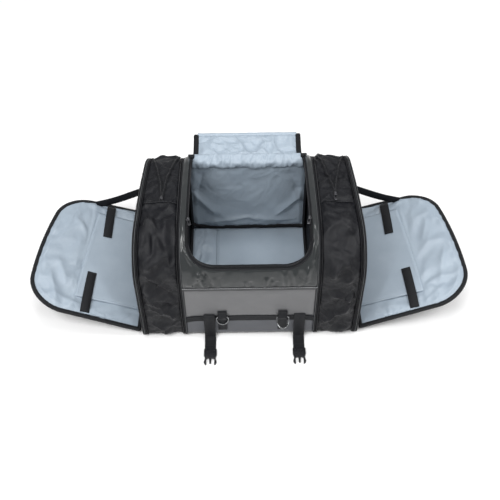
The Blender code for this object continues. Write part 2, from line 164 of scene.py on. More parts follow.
class Paint:
    """A node material on a Principled shader, in fabric lengths (the UV map) or the object's own metres."""

    def __init__(self, name, roughness, coordinates="fabric", **settings):
        self.material = bpy.data.materials.new(name)
        self.material.use_nodes = True
        self.tree = self.material.node_tree
        self.shader = self.tree.nodes["Principled BSDF"]
        self.shader.inputs["Roughness"].default_value = roughness
        for socket, value in settings.items():
            self.shader.inputs[socket.replace("_", " ")].default_value = value
        if coordinates == "fabric":
            source = self.tree.nodes.new("ShaderNodeUVMap")
            source.uv_map = "fabric"
            self.place = source.outputs["UV"]
        else:
            self.place = self.tree.nodes.new("ShaderNodeTexCoord").outputs["Object"]

    def node(self, kind, inputs=(), **settings):
        made = self.tree.nodes.new(kind)
        for key, value in settings.items():
            setattr(made, key, value)
        for socket, value in dict(inputs).items():
            if isinstance(value, bpy.types.NodeSocket):
                self.tree.links.new(value, made.inputs[socket])
            else:
                made.inputs[socket].default_value = value
        return made

    def noise(self, size, detail=3.0, rough=0.55, stretch=None):
        """Noise with features of that size in metres, stretched along one direction if asked."""
        place = self.place
        if stretch:
            place = self.node("ShaderNodeMapping", {"Vector": place, "Scale": stretch}).outputs["Vector"]
        inputs = {"Vector": place, "Scale": 1 / size, "Detail": detail, "Roughness": rough}
        return self.node("ShaderNodeTexNoise", inputs).outputs["Fac"]

    def threads(self, pitch, direction):
        """Rounded threads that repeat every pitch metres."""
        inputs = {"Vector": self.place, "Scale": 0.314159 / pitch}
        settings = {"wave_type": "BANDS", "bands_direction": direction, "wave_profile": "SIN"}
        return self.node("ShaderNodeTexWave", inputs, **settings).outputs["Fac"]

    def maths(self, operation, one, two):
        return self.node("ShaderNodeMath", {0: one, 1: two}, operation=operation).outputs[0]

    def ramp(self, factor, stops):
        node = self.node("ShaderNodeValToRGB", {"Fac": factor})
        elements = node.color_ramp.elements
        while len(elements) < len(stops):
            elements.new(0.5)
        for element, (position, value) in zip(elements, stops):
            element.position = position
            colour = value if isinstance(value, tuple) else (value, value, value)
            element.color = (*colour, 1)
        return node.outputs["Color"]

    def mix(self, factor, one, two):
        node = self.node("ShaderNodeMix", data_type="RGBA")
        for socket, value in ((node.inputs[0], factor), (node.inputs[6], one), (node.inputs[7], two)):
            if isinstance(value, bpy.types.NodeSocket):
                self.tree.links.new(value, socket)
            else:
                socket.default_value = (*value, 1) if isinstance(value, tuple) else value
        return node.outputs[2]

    def bump(self, height, strength, distance, under=None):
        inputs = {"Height": height, "Strength": strength, "Distance": distance}
        if under is not None:
            inputs["Normal"] = under
        return self.node("ShaderNodeBump", inputs).outputs["Normal"]

    def finish(self, colour, roughness=None, normal=None):
        for socket, value in (("Base Color", colour), ("Roughness", roughness), ("Normal", normal)):
            if value is not None:
                self.tree.links.new(value, self.shader.inputs[socket])
        return self.material


def woven(name, dark, light, pitch, roughness, depth, **settings):
    """A plain weave: threads over and under each other, uneven in colour, with broad soft patches."""
    paint = Paint(name, roughness, **settings)
    across = paint.threads(pitch, "X")
    along = paint.threads(pitch, "Y")
    crossing = paint.maths("MULTIPLY", across, along)
    weave = paint.maths("ADD", crossing, paint.maths("MULTIPLY", paint.maths("MAXIMUM", across, along), 0.5))
    patches = paint.noise(0.05, 4.0)
    fine = paint.noise(0.004, 2.0, stretch=(1.0, 6.0, 1.0))
    shade = paint.maths("ADD", paint.maths("MULTIPLY", patches, 0.6), paint.maths("MULTIPLY", fine, 0.4))
    colour = paint.ramp(shade, [(0.3, dark), (0.7, light)])
    colour = paint.mix(paint.maths("MULTIPLY", weave, 0.22), colour, tuple(0.72 * c for c in dark))
    rough = paint.ramp(patches, [(0.3, roughness - 0.06), (0.7, roughness + 0.06)])
    soft = paint.bump(fine, 0.25, 0.0006)
    return paint.finish(colour, rough, paint.bump(weave, 0.5, depth, soft))


def coated(name, dark, light, roughness, **settings):
    """Tarpaulin: coated fabric with a smooth, slightly grained and rubbed surface."""
    paint = Paint(name, roughness, **settings)
    patches = paint.noise(0.07, 5.0)
    scuffs = paint.noise(0.01, 6.0, 0.7, stretch=(1.0, 0.35, 1.0))
    grain = paint.noise(0.0011, 2.0)
    scrim = paint.maths("MULTIPLY", paint.threads(0.0016, "X"), paint.threads(0.0016, "Y"))
    shade = paint.maths("ADD", paint.maths("MULTIPLY", patches, 0.7), paint.maths("MULTIPLY", scuffs, 0.3))
    colour = paint.ramp(shade, [(0.28, dark), (0.72, light)])
    rough = paint.ramp(scuffs, [(0.3, roughness - 0.04), (0.75, roughness + 0.06)])
    rolling = paint.bump(paint.noise(0.03, 2.0), 0.25, 0.002)
    waved = paint.bump(scrim, 0.1, 0.0001, rolling)
    return paint.finish(colour, rough, paint.bump(grain, 0.08, 0.0001, waved))


def ribbed(name, dark, light, pitch, roughness, depth, **settings):
    """Webbing, tape and binding: ribs across the strip and a finer thread along it."""
    paint = Paint(name, roughness, **settings)
    ribs = paint.threads(pitch, "Y")
    cords = paint.threads(pitch * 1.6, "X")
    height = paint.maths("ADD", ribs, paint.maths("MULTIPLY", cords, 0.7))
    wear = paint.noise(0.012, 5.0, 0.7)
    colour = paint.ramp(wear, [(0.35, dark), (0.75, light)])
    colour = paint.mix(paint.maths("MULTIPLY", height, 0.16), colour, tuple(0.6 * c for c in dark))
    rough = paint.ramp(wear, [(0.3, roughness - 0.08), (0.7, roughness + 0.05)])
    return paint.finish(colour, rough, paint.bump(height, 0.55, depth))


def moulded(name, dark, light, roughness, metallic=0.0, **settings):
    """Moulded plastic, plated wire or painted metal, with fine scratches and worn patches."""
    paint = Paint(name, roughness, "object", Metallic=metallic, **settings)
    wear = paint.noise(0.006, 5.0, 0.7)
    scratches = paint.noise(0.0009, 2.0, stretch=(1.0, 7.0, 1.0))
    colour = paint.ramp(wear, [(0.35, dark), (0.75, light)])
    rough = paint.ramp(scratches, [(0.3, max(roughness - 0.07, 0.08)), (0.75, roughness + 0.09)])
    return paint.finish(colour, rough, paint.bump(scratches, 0.12, 0.0001))


def make_materials():
    return {
        "tarpaulin": coated("tarpaulin", (0.082, 0.083, 0.087), (0.1, 0.101, 0.105), 0.36,
                            Coat_Weight=0.15),
        # The yoke's and the lid's tarpaulin is the same tarpaulin as the walls. Its colour is darkened as
        # painted shade, standing in for the dim reflections on its upward-facing surfaces.
        "yoke": coated("yoke_tarpaulin_painted_shade", (0.017, 0.0195, 0.0205), (0.024, 0.027, 0.028), 0.3,
                       Coat_Weight=0.5, Coat_Roughness=0.08, Specular_IOR_Level=0.15),
        "welt": coated("welt", (0.016, 0.017, 0.02), (0.024, 0.025, 0.028), 0.45),
        "lower": coated("lower_tarpaulin", (0.052, 0.056, 0.066), (0.066, 0.07, 0.08), 0.42),
        "nylon": woven("gusset_nylon", (0.0038, 0.0042, 0.006), (0.0065, 0.007, 0.0095), 0.001, 0.4,
                       0.0003, Specular_IOR_Level=0.24),
        "shadow": woven("divider_nylon", (0.005, 0.0055, 0.008), (0.009, 0.0095, 0.012), 0.0008, 0.72, 0.0003,
                        Specular_IOR_Level=0.15),
        "lining": woven("lining", (0.29, 0.35, 0.415), (0.35, 0.415, 0.48), 0.0005, 0.34, 0.00008),
        "webbing": ribbed("webbing", (0.006, 0.0066, 0.0085), (0.011, 0.0118, 0.0145), 0.0011, 0.62, 0.0004,
                          Specular_IOR_Level=0.25),
        "binding": ribbed("binding", (0.005, 0.0055, 0.0072), (0.0095, 0.01, 0.0125), 0.0008, 0.56, 0.0003,
                          Specular_IOR_Level=0.25),
        "tape": ribbed("zip_tape", (0.005, 0.0055, 0.007), (0.009, 0.0095, 0.0115), 0.0009, 0.66, 0.0003,
                       Specular_IOR_Level=0.2),
        "piping": ribbed("piping", (0.06, 0.064, 0.068), (0.1, 0.104, 0.108), 0.0009, 0.4, 0.0002),
        "coil": moulded("zip_coil", (0.006, 0.006, 0.008), (0.013, 0.014, 0.016), 0.4,
                        Specular_IOR_Level=0.3),
        "thread": moulded("thread", (0.3, 0.31, 0.32), (0.42, 0.43, 0.44), 0.55),
        "dark_thread": moulded("dark_thread", (0.012, 0.013, 0.015), (0.024, 0.025, 0.028), 0.6),
        "steel": moulded("ring_steel", (0.14, 0.145, 0.15), (0.26, 0.265, 0.27), 0.22, 1.0),
        "slider": moulded("slider_metal", (0.045, 0.046, 0.05), (0.12, 0.12, 0.13), 0.28, 0.8),
        "plastic": moulded("buckle_plastic", (0.007, 0.0072, 0.009), (0.013, 0.013, 0.016), 0.26),
    }


# --- the side profile --------------------------------------------------------------------------------


def unit(vectors):
    return vectors / np.linalg.norm(vectors, axis=-1, keepdims=True)


def points_at(x, y, z):
    """Points from coordinates that broadcast to one shape."""
    return np.stack(np.broadcast_arrays(x, y, z), axis=-1)


def fillet(before, corner, after, radius, steps):
    """The arc that rounds a corner, as (y, z) points."""
    into = (before - corner).normalized()
    out = (after - corner).normalized()
    half = into.angle(out) / 2
    centre = corner + (into + out).normalized() * radius / math.sin(half)
    start = corner + into * radius / math.tan(half) - centre
    turn = -(math.pi - 2 * half)
    points = []
    for step in range(steps + 1):
        a = turn * step / steps
        c, s = math.cos(a), math.sin(a)
        points.append(centre + Vector((c * start.x - s * start.y, s * start.x + c * start.y)))
    return points


def side_profile():
    """The side outline from the rear face down, under the base, up the front and back over the top."""
    corners = [
        Vector((HALF_DEPTH, 0.0)),
        Vector((-HALF_DEPTH, 0.0)),
        Vector((-HALF_DEPTH + LEAN, FRONT_HEIGHT)),
        Vector((HALF_DEPTH - LEAN, REAR_HEIGHT)),
    ]
    radii = (BASE_RADIUS, BASE_RADIUS, TOP_RADIUS, TOP_RADIUS)
    arcs = []
    for i, (corner, radius) in enumerate(zip(corners, radii)):
        arcs.append(fillet(corners[i - 1], corner, corners[(i + 1) % 4], radius, 32))
    start = Vector((HALF_DEPTH - LEAN * SPLIT_Z / REAR_HEIGHT, SPLIT_Z))
    points = [start] + arcs[0] + arcs[1] + arcs[2] + arcs[3] + [start]
    even = []
    for one, two in zip(points, points[1:]):
        steps = max(1, round((two - one).length / 0.003))
        even += [one.lerp(two, k / steps) for k in range(steps)]
    outline = np.array(even)
    t = (outline[:, 0] + HALF_DEPTH) / (2 * HALF_DEPTH)
    outline[:, 1] += CROWN * 4 * t * (1 - t) * np.clip((outline[:, 1] - 0.06) / 0.1, 0, 1)
    return outline


OUTLINE = side_profile()
CLOSED = np.vstack([OUTLINE, OUTLINE[:1]])
STATIONS = np.concatenate([[0.0], np.cumsum(np.linalg.norm(np.diff(CLOSED, axis=0), axis=1))])
AROUND = STATIONS[-1]
TANGENTS = unit(np.roll(OUTLINE, -1, axis=0) - np.roll(OUTLINE, 1, axis=0))
TANGENTS = np.vstack([TANGENTS, TANGENTS[:1]])


def at(s, out=0.0):
    """(y, z) at lengths along the profile, out above its surface."""
    s = np.mod(s, AROUND)
    y, z, ty, tz = (np.interp(s, STATIONS, c) for c in (*CLOSED.T, *TANGENTS.T))
    return y - tz * out, z + ty * out


def skin(x, s, out=0.0):
    """Points on the bag's surface. The floor stops them."""
    y, z = at(*np.broadcast_arrays(s, out))
    return points_at(x, y, np.maximum(z, 0.0002))


def surface_up(x, s):
    """Unit normals of the bag's surface at (x, s) points."""
    s = np.mod(np.broadcast_arrays(x, s)[1], AROUND)
    ty, tz = (np.interp(s, STATIONS, c) for c in TANGENTS.T)
    return unit(points_at(0.0, -tz, ty))


def first_station(test, start=0.0):
    """The first length along the profile after start whose point passes the test."""
    s = np.arange(start, AROUND, 0.0002)
    y, z = at(s)
    return float(s[np.argmax(test(y, z))])


def up_front(z):
    return first_station(lambda y, height: (y < 0) & (height >= z))


def along_top(y):
    return first_station(lambda depth, z: (z > 0.2) & (depth >= y))


def down_rear(z):
    return first_station(lambda y, height: height <= z, S_HINGE)


S_BASE = up_front(BASE_SEAM_Z)
S_LOWER = up_front(LOWER_SEAM_Z)
S_YOKE = up_front(YOKE_SEAM_Z)
S_FRONT = up_front(OPENING_FRONT_Z)
S_FOLD = along_top(FOLD_Y)
S_HINGE = along_top(HINGE_Y)


def face(side, y, offset=0.0):
    """X of a side frame's outer face, or of a plane that lies off it."""
    return side * (FRAME_FRONT - FRAME_TOE * (y + HALF_DEPTH) + offset)


# --- noise, folds and cloth --------------------------------------------------------------------------


def rough(u, v, seed):
    """Smooth random heights between about -1 and 1, with features one unit wide."""
    angles = np.random.default_rng(seed).uniform(0, 2 * math.pi, (64, 64))
    i, j = np.floor(u).astype(int), np.floor(v).astype(int)
    f, g = u - i, v - j

    def corner(di, dj):
        a = angles[(i + di) % 64, (j + dj) % 64]
        return np.cos(a) * (f - di) + np.sin(a) * (g - dj)

    blend_u, blend_v = (t**3 * (t * (t * 6 - 15) + 10) for t in (f, g))
    low = corner(0, 0) * (1 - blend_u) + corner(1, 0) * blend_u
    high = corner(0, 1) * (1 - blend_u) + corner(1, 1) * blend_u
    return 1.5 * (low * (1 - blend_v) + high * blend_v)


def creased(u, v, size, seed, turn=0.0, stretch=1.0):
    """Crumpled cloth: sharp ridges between soft hollows, from -1 to 1, drawn out along one direction."""
    c, s = math.cos(turn), math.sin(turn)
    along, across = (c * u + s * v) / (size * stretch), (c * v - s * u) / size
    wander = 0.6 * rough(along * 0.7, across * 0.7, seed + 7)
    ridges = 1 - 2.4 * np.abs(rough(along + wander, across - wander, seed))
    return np.clip(0.75 * ridges + 0.35 * rough(along * 2.3, across * 2.3, seed + 3), -1, 1)


def fold(u, v, start, end, width, height):
    """A fold along a line: a ridge, or a hollow if its height is negative, that fades at both ends."""
    start, line = np.array(start), np.subtract(end, start)
    length = np.hypot(*line)
    t = ((u - start[0]) * line[0] + (v - start[1]) * line[1]) / length**2
    away = np.abs((u - start[0]) * line[1] - (v - start[1]) * line[0]) / length
    fade = np.clip(t * 4, 0, 1) * np.clip((1 - t) * 4, 0, 1)
    return height * np.exp(-((away / width) ** 1.5)) * ease(fade)


def folds(u, v, table, wider=1.0, taller=1.0):
    """The height of several folds: the table holds their starts, ends, widths and heights."""
    return sum(fold(u, v, start, end, width * wider, tall * taller) for start, end, width, tall in table)


def ease(t):
    """A smooth step from 0 to 1."""
    return t * t * (3 - 2 * t)


def hem(t, width=0.1):
    """0 at both ends of a 0 to 1 range, rising smoothly to 1 inside."""
    return ease(np.clip(np.minimum(t, 1 - t) / width, 0, 1))


def side_hem(x, half, width=0.1):
    """The same from -half to half."""
    return hem((x / half + 1) / 2, width)


def smoothed(values, times):
    """A row of values or points, each inner one averaged with its neighbours a few times over."""
    for _ in range(times):
        values[1:-1] = (values[:-2] + 2 * values[1:-1] + values[2:]) / 4
    return values


def field(half, cols, low, high, rows):
    """A grid of x from -half to half and of s, or y, from low to high."""
    return np.meshgrid(np.linspace(-half, half, cols), np.linspace(low, high, rows))


def all_round(count):
    """Lengths round the whole profile."""
    return np.linspace(0, AROUND, count, endpoint=False)


CLOTH_FRAMES = 16


def settled(points, grow, cap, wrap=False):
    """Cloth simulation of a grid cut larger than the space that it is sewn into, held round its edge."""
    rows, cols = points.shape[:2]
    obj = linked("cloth", bpy.data.meshes.new("cloth"))
    obj.data.from_pydata(points.reshape(-1, 3).tolist(), [], grid_faces(rows, cols, wrap))
    held = np.zeros((rows, cols), bool)
    held[:, (0, -1)] = True
    if not wrap:
        held[(0, -1), :] = True
    obj.vertex_groups.new(name="held").add(np.flatnonzero(held).tolist(), 1.0, "REPLACE")
    modifier = obj.modifiers.new("cloth", "CLOTH")
    cloth = modifier.settings
    cloth.vertex_group_mass = "held"
    cloth.quality = 6
    cloth.mass = 0.12
    cloth.air_damping = 4.0
    cloth.tension_stiffness = cloth.compression_stiffness = 12.0
    cloth.shear_stiffness = 6.0
    cloth.bending_stiffness = 0.03
    cloth.shrink_min = -grow
    cloth.effector_weights.gravity = 0.0
    modifier.collision_settings.use_collision = False
    modifier.point_cache.frame_start = 1
    modifier.point_cache.frame_end = CLOTH_FRAMES
    scene = bpy.context.scene
    for number in range(1, CLOTH_FRAMES + 1):
        scene.frame_set(number)
    done = obj.evaluated_get(bpy.context.evaluated_depsgraph_get()).to_mesh()
    found = np.empty(rows * cols * 3)
    done.vertices.foreach_get("co", found)
    moved = found.reshape(rows, cols, 3) - points
    far = np.linalg.norm(moved, axis=-1, keepdims=True)
    bpy.data.objects.remove(obj, do_unlink=True)
    scene.frame_set(1)
    return points + moved * np.minimum(1, cap * np.tanh(far / cap) / np.maximum(far, 1e-9))


# --- meshes ------------------------------------------------------------------------------------------


def grid_faces(rows, cols, wrap=False, offset=0, flip=False):
    faces = []
    for i in range(rows if wrap else rows - 1):
        one, two = offset + i * cols, offset + (i + 1) % rows * cols
        for j in range(cols - 1):
            quad = (one + j, one + j + 1, two + j + 1, two + j)
            faces.append(quad[::-1] if flip else quad)
    return faces


def grid_lengths(points):
    """UVs in metres: lengths across and along the grid."""
    across = np.linalg.norm(np.diff(points, axis=1), axis=-1).mean(axis=0)
    along = np.linalg.norm(np.diff(points, axis=0), axis=-1).mean(axis=1)
    u = np.concatenate([[0.0], np.cumsum(across)])
    v = np.concatenate([[0.0], np.cumsum(along)])
    return np.stack(np.meshgrid(u, v), axis=-1)


def path_steps(points, closed=False):
    """Steps from row to row, open at both ends or closed."""
    if closed:
        return np.roll(points, -1, axis=0) - np.roll(points, 1, axis=0)
    return np.gradient(points, axis=0)


def grid_normals(points, wrap=False):
    """Unit normals, on the side from which x runs right while the rows run up."""
    normals = np.cross(np.gradient(points, axis=1), path_steps(points, wrap))
    return normals / np.maximum(np.linalg.norm(normals, axis=-1, keepdims=True), 1e-12)


def path_axes(path, ups, closed):
    """Unit directions along a path, beside it and above it."""
    along = unit(path_steps(path, closed))
    beside = unit(np.cross(along, np.broadcast_to(ups, path.shape)))
    return along, beside, np.cross(beside, along)


def piece(name, vertices, faces, lengths, paint, body="root", node=None, move=None):
    """A finished piece: its mesh, its fabric lengths as UVs, its material, its body and what it stands for.
    move turns its points from the closed to the open pose. A piece with no body is left unattached."""
    mesh = bpy.data.meshes.new(name)
    vertices = np.asarray(vertices).reshape(-1, 3)
    mesh.from_pydata((move(vertices) if move else vertices).tolist(), [], faces)
    mesh.polygons.foreach_set("use_smooth", [True] * len(mesh.polygons))
    layer = mesh.uv_layers.new(name="fabric")
    corners = np.empty(len(mesh.loops), int)
    mesh.loops.foreach_get("vertex_index", corners)
    layer.data.foreach_set("uv", np.asarray(lengths).reshape(-1, 2)[corners].ravel())
    mesh.materials.append(MATERIALS[paint])
    obj = linked(name, mesh)
    if body:
        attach(obj, body)
    if node:
        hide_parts(node)
    return obj


def cloth(name, points, thickness, paint, wrap=False, flip=False, **how):
    """A sheet with two faces and closed edges. Its seen side is its grid, and flip turns that round."""
    rows, cols = points.shape[:2]
    count = rows * cols
    normals = grid_normals(points, wrap) * (-1 if flip else 1)
    under = points - normals * thickness
    under[..., 2] = np.maximum(under[..., 2], 0.0001)
    faces = grid_faces(rows, cols, wrap, 0, flip) + grid_faces(rows, cols, wrap, count, not flip)
    if wrap:
        rims = [[i * cols for i in range(rows)] + [0], [(i + 1) * cols - 1 for i in range(rows)] + [cols - 1]]
        rims[0] = rims[0][::-1]
    else:
        ring = list(range(cols)) + [(i + 1) * cols - 1 for i in range(1, rows)]
        ring += list(range(count - 2, count - cols - 1, -1)) + [i * cols for i in range(rows - 2, -1, -1)]
        rims = [ring]
    for rim in rims:
        for one, two in zip(rim, rim[1:]):
            quad = (two, one, one + count, two + count)
            faces.append(quad[::-1] if flip else quad)
    lengths = grid_lengths(points)
    return piece(name, np.concatenate([points, under]), faces, [lengths, lengths], paint, **how)


def sweep(name, path, ups, section, paint, closed=False, **how):
    """A section of (side, up) points along a path, whose up direction is given at each point."""
    path, section = np.asarray(path, float), np.asarray(section)
    _, beside, above = path_axes(path, ups, closed)
    points = path[:, None] + beside[:, None] * section[None, :, :1] + above[:, None] * section[None, :, 1:]
    points[..., 2] = np.maximum(points[..., 2], 0.0001)
    return skein(name, points, paint, closed, **how)


def tube_faces(rows, cols, closed=False, first=0):
    """Faces round a tube of rows of cols points, with its ends unless it is closed."""
    faces = []
    for i in range(rows if closed else rows - 1):
        one, two = first + i * cols, first + (i + 1) % rows * cols
        for j in range(cols):
            k = (j + 1) % cols
            faces.append((one + j, one + k, two + k, two + j))
    if not closed:
        last = first + (rows - 1) * cols
        faces += [tuple(range(first, first + cols))[::-1], tuple(range(last, last + cols))]
    return faces


def skein(name, points, paint, closed=False, **how):
    """A tube from rows of section points."""
    faces = tube_faces(*points.shape[:2], closed)
    return piece(name, points, faces, grid_lengths(points), paint, **how)


def oval(width, height, sides=8, power=1.0):
    """An oval section. A power below 1 makes it squarer."""
    section = []
    for k in range(sides):
        a = 2 * math.pi * (k + 0.5) / sides
        c, s = math.cos(a), math.sin(a)
        x = math.copysign(abs(c) ** power, c) * width / 2
        section.append((x, math.copysign(abs(s) ** power, s) * height / 2))
    return section


def strip(width, thickness):
    """Section of a flat strap with rounded edges."""
    half, h = width / 2, thickness / 2
    edge = [(half - h, -h), (half, 0.0), (half - h, h)]
    return edge + [(0.0, h)] + [(-x, -y) for x, y in edge] + [(0.0, -h)]


def resampled(path, spacing, closed=False):
    """The path with evenly spaced points."""
    path = np.asarray(path, float)
    if closed:
        path = np.vstack([path, path[:1]])
    s = np.concatenate([[0.0], np.cumsum(np.linalg.norm(np.diff(path, axis=0), axis=1))])
    count = max(2, round(s[-1] / spacing) + (0 if closed else 1))
    wanted = np.linspace(0, s[-1], count, endpoint=not closed)
    return np.stack([np.interp(wanted, s, c) for c in path.T], axis=-1)


def beads(name, path, ups, size, fill, paint, closed=False, **how):
    """Small rounded blocks in a row, such as stitches or zip teeth: size is (along, across, high)."""
    path = np.asarray(path, float)
    both = resampled(np.hstack([path, np.broadcast_to(ups, path.shape)]), size[0] / fill, closed)
    centres, sides = both[:, :3], 6
    block = []
    for t, scale in ((-0.5, 0.45), (-0.3, 1.0), (0.3, 1.0), (0.5, 0.45)):
        for k in range(sides):
            a = 2 * math.pi * (k + 0.5) / sides
            block.append((t * size[0], math.cos(a) * scale * size[1] / 2, math.sin(a) * scale * size[2] / 2))
    block = np.array(block)
    axes = path_axes(centres, both[:, 3:], closed)
    points = centres[:, None] + sum(axis[:, None] * block[None, :, i : i + 1] for i, axis in enumerate(axes))
    faces = [face for b in range(len(centres)) for face in tube_faces(4, sides, first=b * len(block))]
    lengths = np.stack([points[..., 0], points[..., 1] + points[..., 2]], axis=-1)
    return piece(name, points, faces, lengths, paint, **how)


def stitches(name, path, ups, long=0.0024, wide=0.0007, paint="dark_thread", fill=0.75, **how):
    return beads(name, path, ups, (long, wide, wide - 0.0001), fill, paint, **how)


def teeth(name, path, ups, long=0.0012, wide=0.0028, **how):
    """One side of a zip."""
    return beads(name, path, ups, (long, wide, 0.0018), 0.66, "coil", **how)


def turned(points, angle, axis, pivot):
    turn = np.array(Matrix.Rotation(angle, 3, Vector(axis)))
    return (np.asarray(points) - pivot) @ turn.T + pivot


# --- centre compartment ------------------------------------------------------------------------------


def make_walls():
    """The centre's outer panels. Each stands out by its rise and its waves (height, sizes, seed)."""
    for name, low, high, paint, node, rows, rise, waves in (
        ("front", S_LOWER - 0.004, S_YOKE - 0.0095, "tarpaulin", "front_panel", 36, 0.0016,
         ((0.0022, 0.09, 0.07, 5), (0.0005, 0.02, 0.03, 6))),
        ("lower", S_BASE, S_LOWER, "lower", "lower_front_panel", 24, 0.001, ((0.0008, 0.06, 0.03, 8),)),
        ("rear", S_HINGE + 0.001, AROUND, "tarpaulin", "rear_panel", 48, 0.0012, ((0.002, 0.08, 0.06, 15),)),
        ("base", 0.0, S_BASE, "nylon", "base_panel", 90, 0.0, ((0.0006, 0.05, 0.05, 25),)),
    ):
        x, s = field(CENTRE_HALF, 72, low, high, rows)
        out = rise + sum(height * rough(x / across, s / along, seed) for height, across, along, seed in waves)
        edge = side_hem(x, CENTRE_HALF, 0.04) * hem((s - low) / (high - low), 0.15)
        cloth(f"{name}_cloth", skin(x, s, out * edge), 0.0013, paint, node=node)
    x = np.linspace(-CENTRE_HALF, CENTRE_HALF, 90)
    for name, s in (("base", S_BASE), ("lower", S_LOWER - 0.004)):
        stitches(f"{name}_seam_thread", skin(x, s - 0.0025, 0.0006), surface_up(x, s), 0.0028)


def make_welt():
    """The yoke's seam: the front panel's doubled edge with two rows of thread above it."""
    width = 0.0105
    x, s = field(CENTRE_HALF, 80, S_YOKE - width, S_YOKE, 10)
    t = (s - S_YOKE + width) / width
    out = 0.0004 + 0.003 * hem(t, 0.22) + 0.0005 * rough(x / 0.02, s / 0.01, 31) * hem(t, 0.3)
    cloth("yoke_welt", skin(x, s, out), 0.0012, "welt")
    row = np.linspace(-CENTRE_HALF + 0.001, CENTRE_HALF - 0.001, 140)
    sag = 0.0004 * rough(row / 0.02, row * 0, 32)
    for number, rise, out, paint in ((1, -0.0012, 0.0032, "thread"), (2, 0.0026, 0.0022, "dark_thread")):
        beads(f"yoke_thread_{number}", skin(row, S_YOKE + rise + sag, out), surface_up(row, S_YOKE),
              (0.0034, 0.0012, 0.001), 0.85, paint)


def opening_edge():
    """(x, s) round the opening's U from its left rear end, with the point each faces on the yoke's edge."""
    centre = OPENING_HALF - OPENING_RADIUS
    middle = S_FRONT + OPENING_RADIUS
    inner, outer = [], []
    for s in np.linspace(S_HINGE, middle, 90):
        inner.append((-OPENING_HALF, s))
        outer.append((-CENTRE_HALF, s))
    dx, ds = CENTRE_HALF - centre, middle - S_YOKE
    corner = math.atan2(ds, dx)
    angles = list(np.linspace(0, corner, 16)[1:]) + list(np.linspace(corner, math.pi / 2, 12)[1:])
    for a in angles:
        reach = min(dx / max(math.cos(a), 1e-6), ds / max(math.sin(a), 1e-6))
        c, n = math.cos(a), math.sin(a)
        inner.append((-centre - OPENING_RADIUS * c, middle - OPENING_RADIUS * n))
        outer.append((-centre - reach * c, middle - reach * n))
    for x in np.linspace(-centre, 0, 30)[1:]:
        inner.append((x, S_FRONT))
        outer.append((x, S_YOKE))
    inner += [(-x, s) for x, s in reversed(inner[:-1])]
    outer += [(-x, s) for x, s in reversed(outer[:-1])]
    return np.array(inner), np.array(outer)


YOKE_FOLDS = [
    ((-0.128, 0.004), (-0.098, 0.052), 0.005, 0.0034),
    ((-0.088, 0.0), (-0.106, 0.046), 0.004, 0.004),
    ((-0.07, 0.0), (-0.073, 0.036), 0.0035, 0.0018),
    ((-0.004, 0.0), (-0.01, 0.024), 0.003, 0.0016),
    ((0.03, 0.0), (0.036, 0.034), 0.0036, 0.0026),
    ((0.042, 0.0), (0.047, 0.022), 0.0028, 0.0014),
    ((0.078, 0.0), (0.07, 0.05), 0.0046, 0.0034),
    ((0.1, 0.0), (0.092, 0.05), 0.0046, 0.0036),
    ((0.112, 0.002), (0.122, 0.06), 0.0042, 0.003),
    ((-0.116, 0.06), (-0.136, 0.1), 0.0036, 0.0022),
    ((0.128, 0.06), (0.138, 0.11), 0.0036, 0.0022),
]


def yoke_height(x, s):
    """How far the yoke's tarpaulin stands out: gathers above the seam, each with a hollow beside it."""
    height = 0.0016 + 0.0013 * creased(x, s, 0.034, 41, 1.3, 2.0)
    height = height + folds(x, s - S_YOKE, YOKE_FOLDS, 0.9, 2.0)
    return height + folds(x - 0.011, s - S_YOKE, YOKE_FOLDS, 1.3, -1.0)


def make_yoke():
    inner, outer = opening_edge()
    t = np.linspace(0, 1, 30)
    flat = inner[:, None] * (1 - t)[None, :, None] + outer[:, None] * t[None, :, None]
    x, s = flat[..., 0], flat[..., 1]
    out = yoke_height(x, s) * hem(t, 0.1)[None, :]
    legs = np.clip((s - S_FRONT - OPENING_RADIUS) / 0.02, 0, 1)
    out = out + legs * 0.0022 * np.sin(math.pi * t)[None, :]
    cloth("yoke_cloth", skin(x, s, out)[::-1], 0.0013, "yoke", node="top_yoke")


def u_path(half, radius, front, rear):
    """(x, s) along a U: down its left leg, round the front and back up the right leg."""
    centre = half - radius
    points = [(-half, rear), (-half, front + radius)]
    for k in range(1, 17):
        a = k * math.pi / 32
        points.append((-centre - radius * math.cos(a), front + radius * (1 - math.sin(a))))
    points += [(-x, s) for x, s in reversed(points)]
    return resampled(points, 0.003)


def ribbon_of(path, low, high, outs, cols=5):
    """A grid along a path of (x, s), from low to high metres inside it (to the path's left), at the outs."""
    along = unit(np.gradient(path, axis=0))
    left = np.stack([-along[:, 1], along[:, 0]], axis=-1)
    t = np.linspace(0, 1, cols)
    moved = path[:, None] + left[:, None] * (low + (high - low) * t)[None, :, None]
    return moved[..., 0], moved[..., 1], np.interp(t, np.linspace(0, 1, len(outs)), outs)[None, :]


def ribbon(name, path, low, high, outs, thickness, paint, **how):
    """A band of cloth along a path of (x, s)."""
    x, s, out = ribbon_of(path, low, high, outs)
    return cloth(name, skin(x, s, out), thickness, paint, flip=True, **how)


def ribbon_teeth(name, path, inside, out, **how):
    """A zip's teeth along a path of (x, s), some metres inside it."""
    x, s, _ = ribbon_of(path, inside, inside, (out,), 2)
    teeth(name, skin(x, s, out)[:, 0], surface_up(x[:, 0], s[:, 0]), **how)


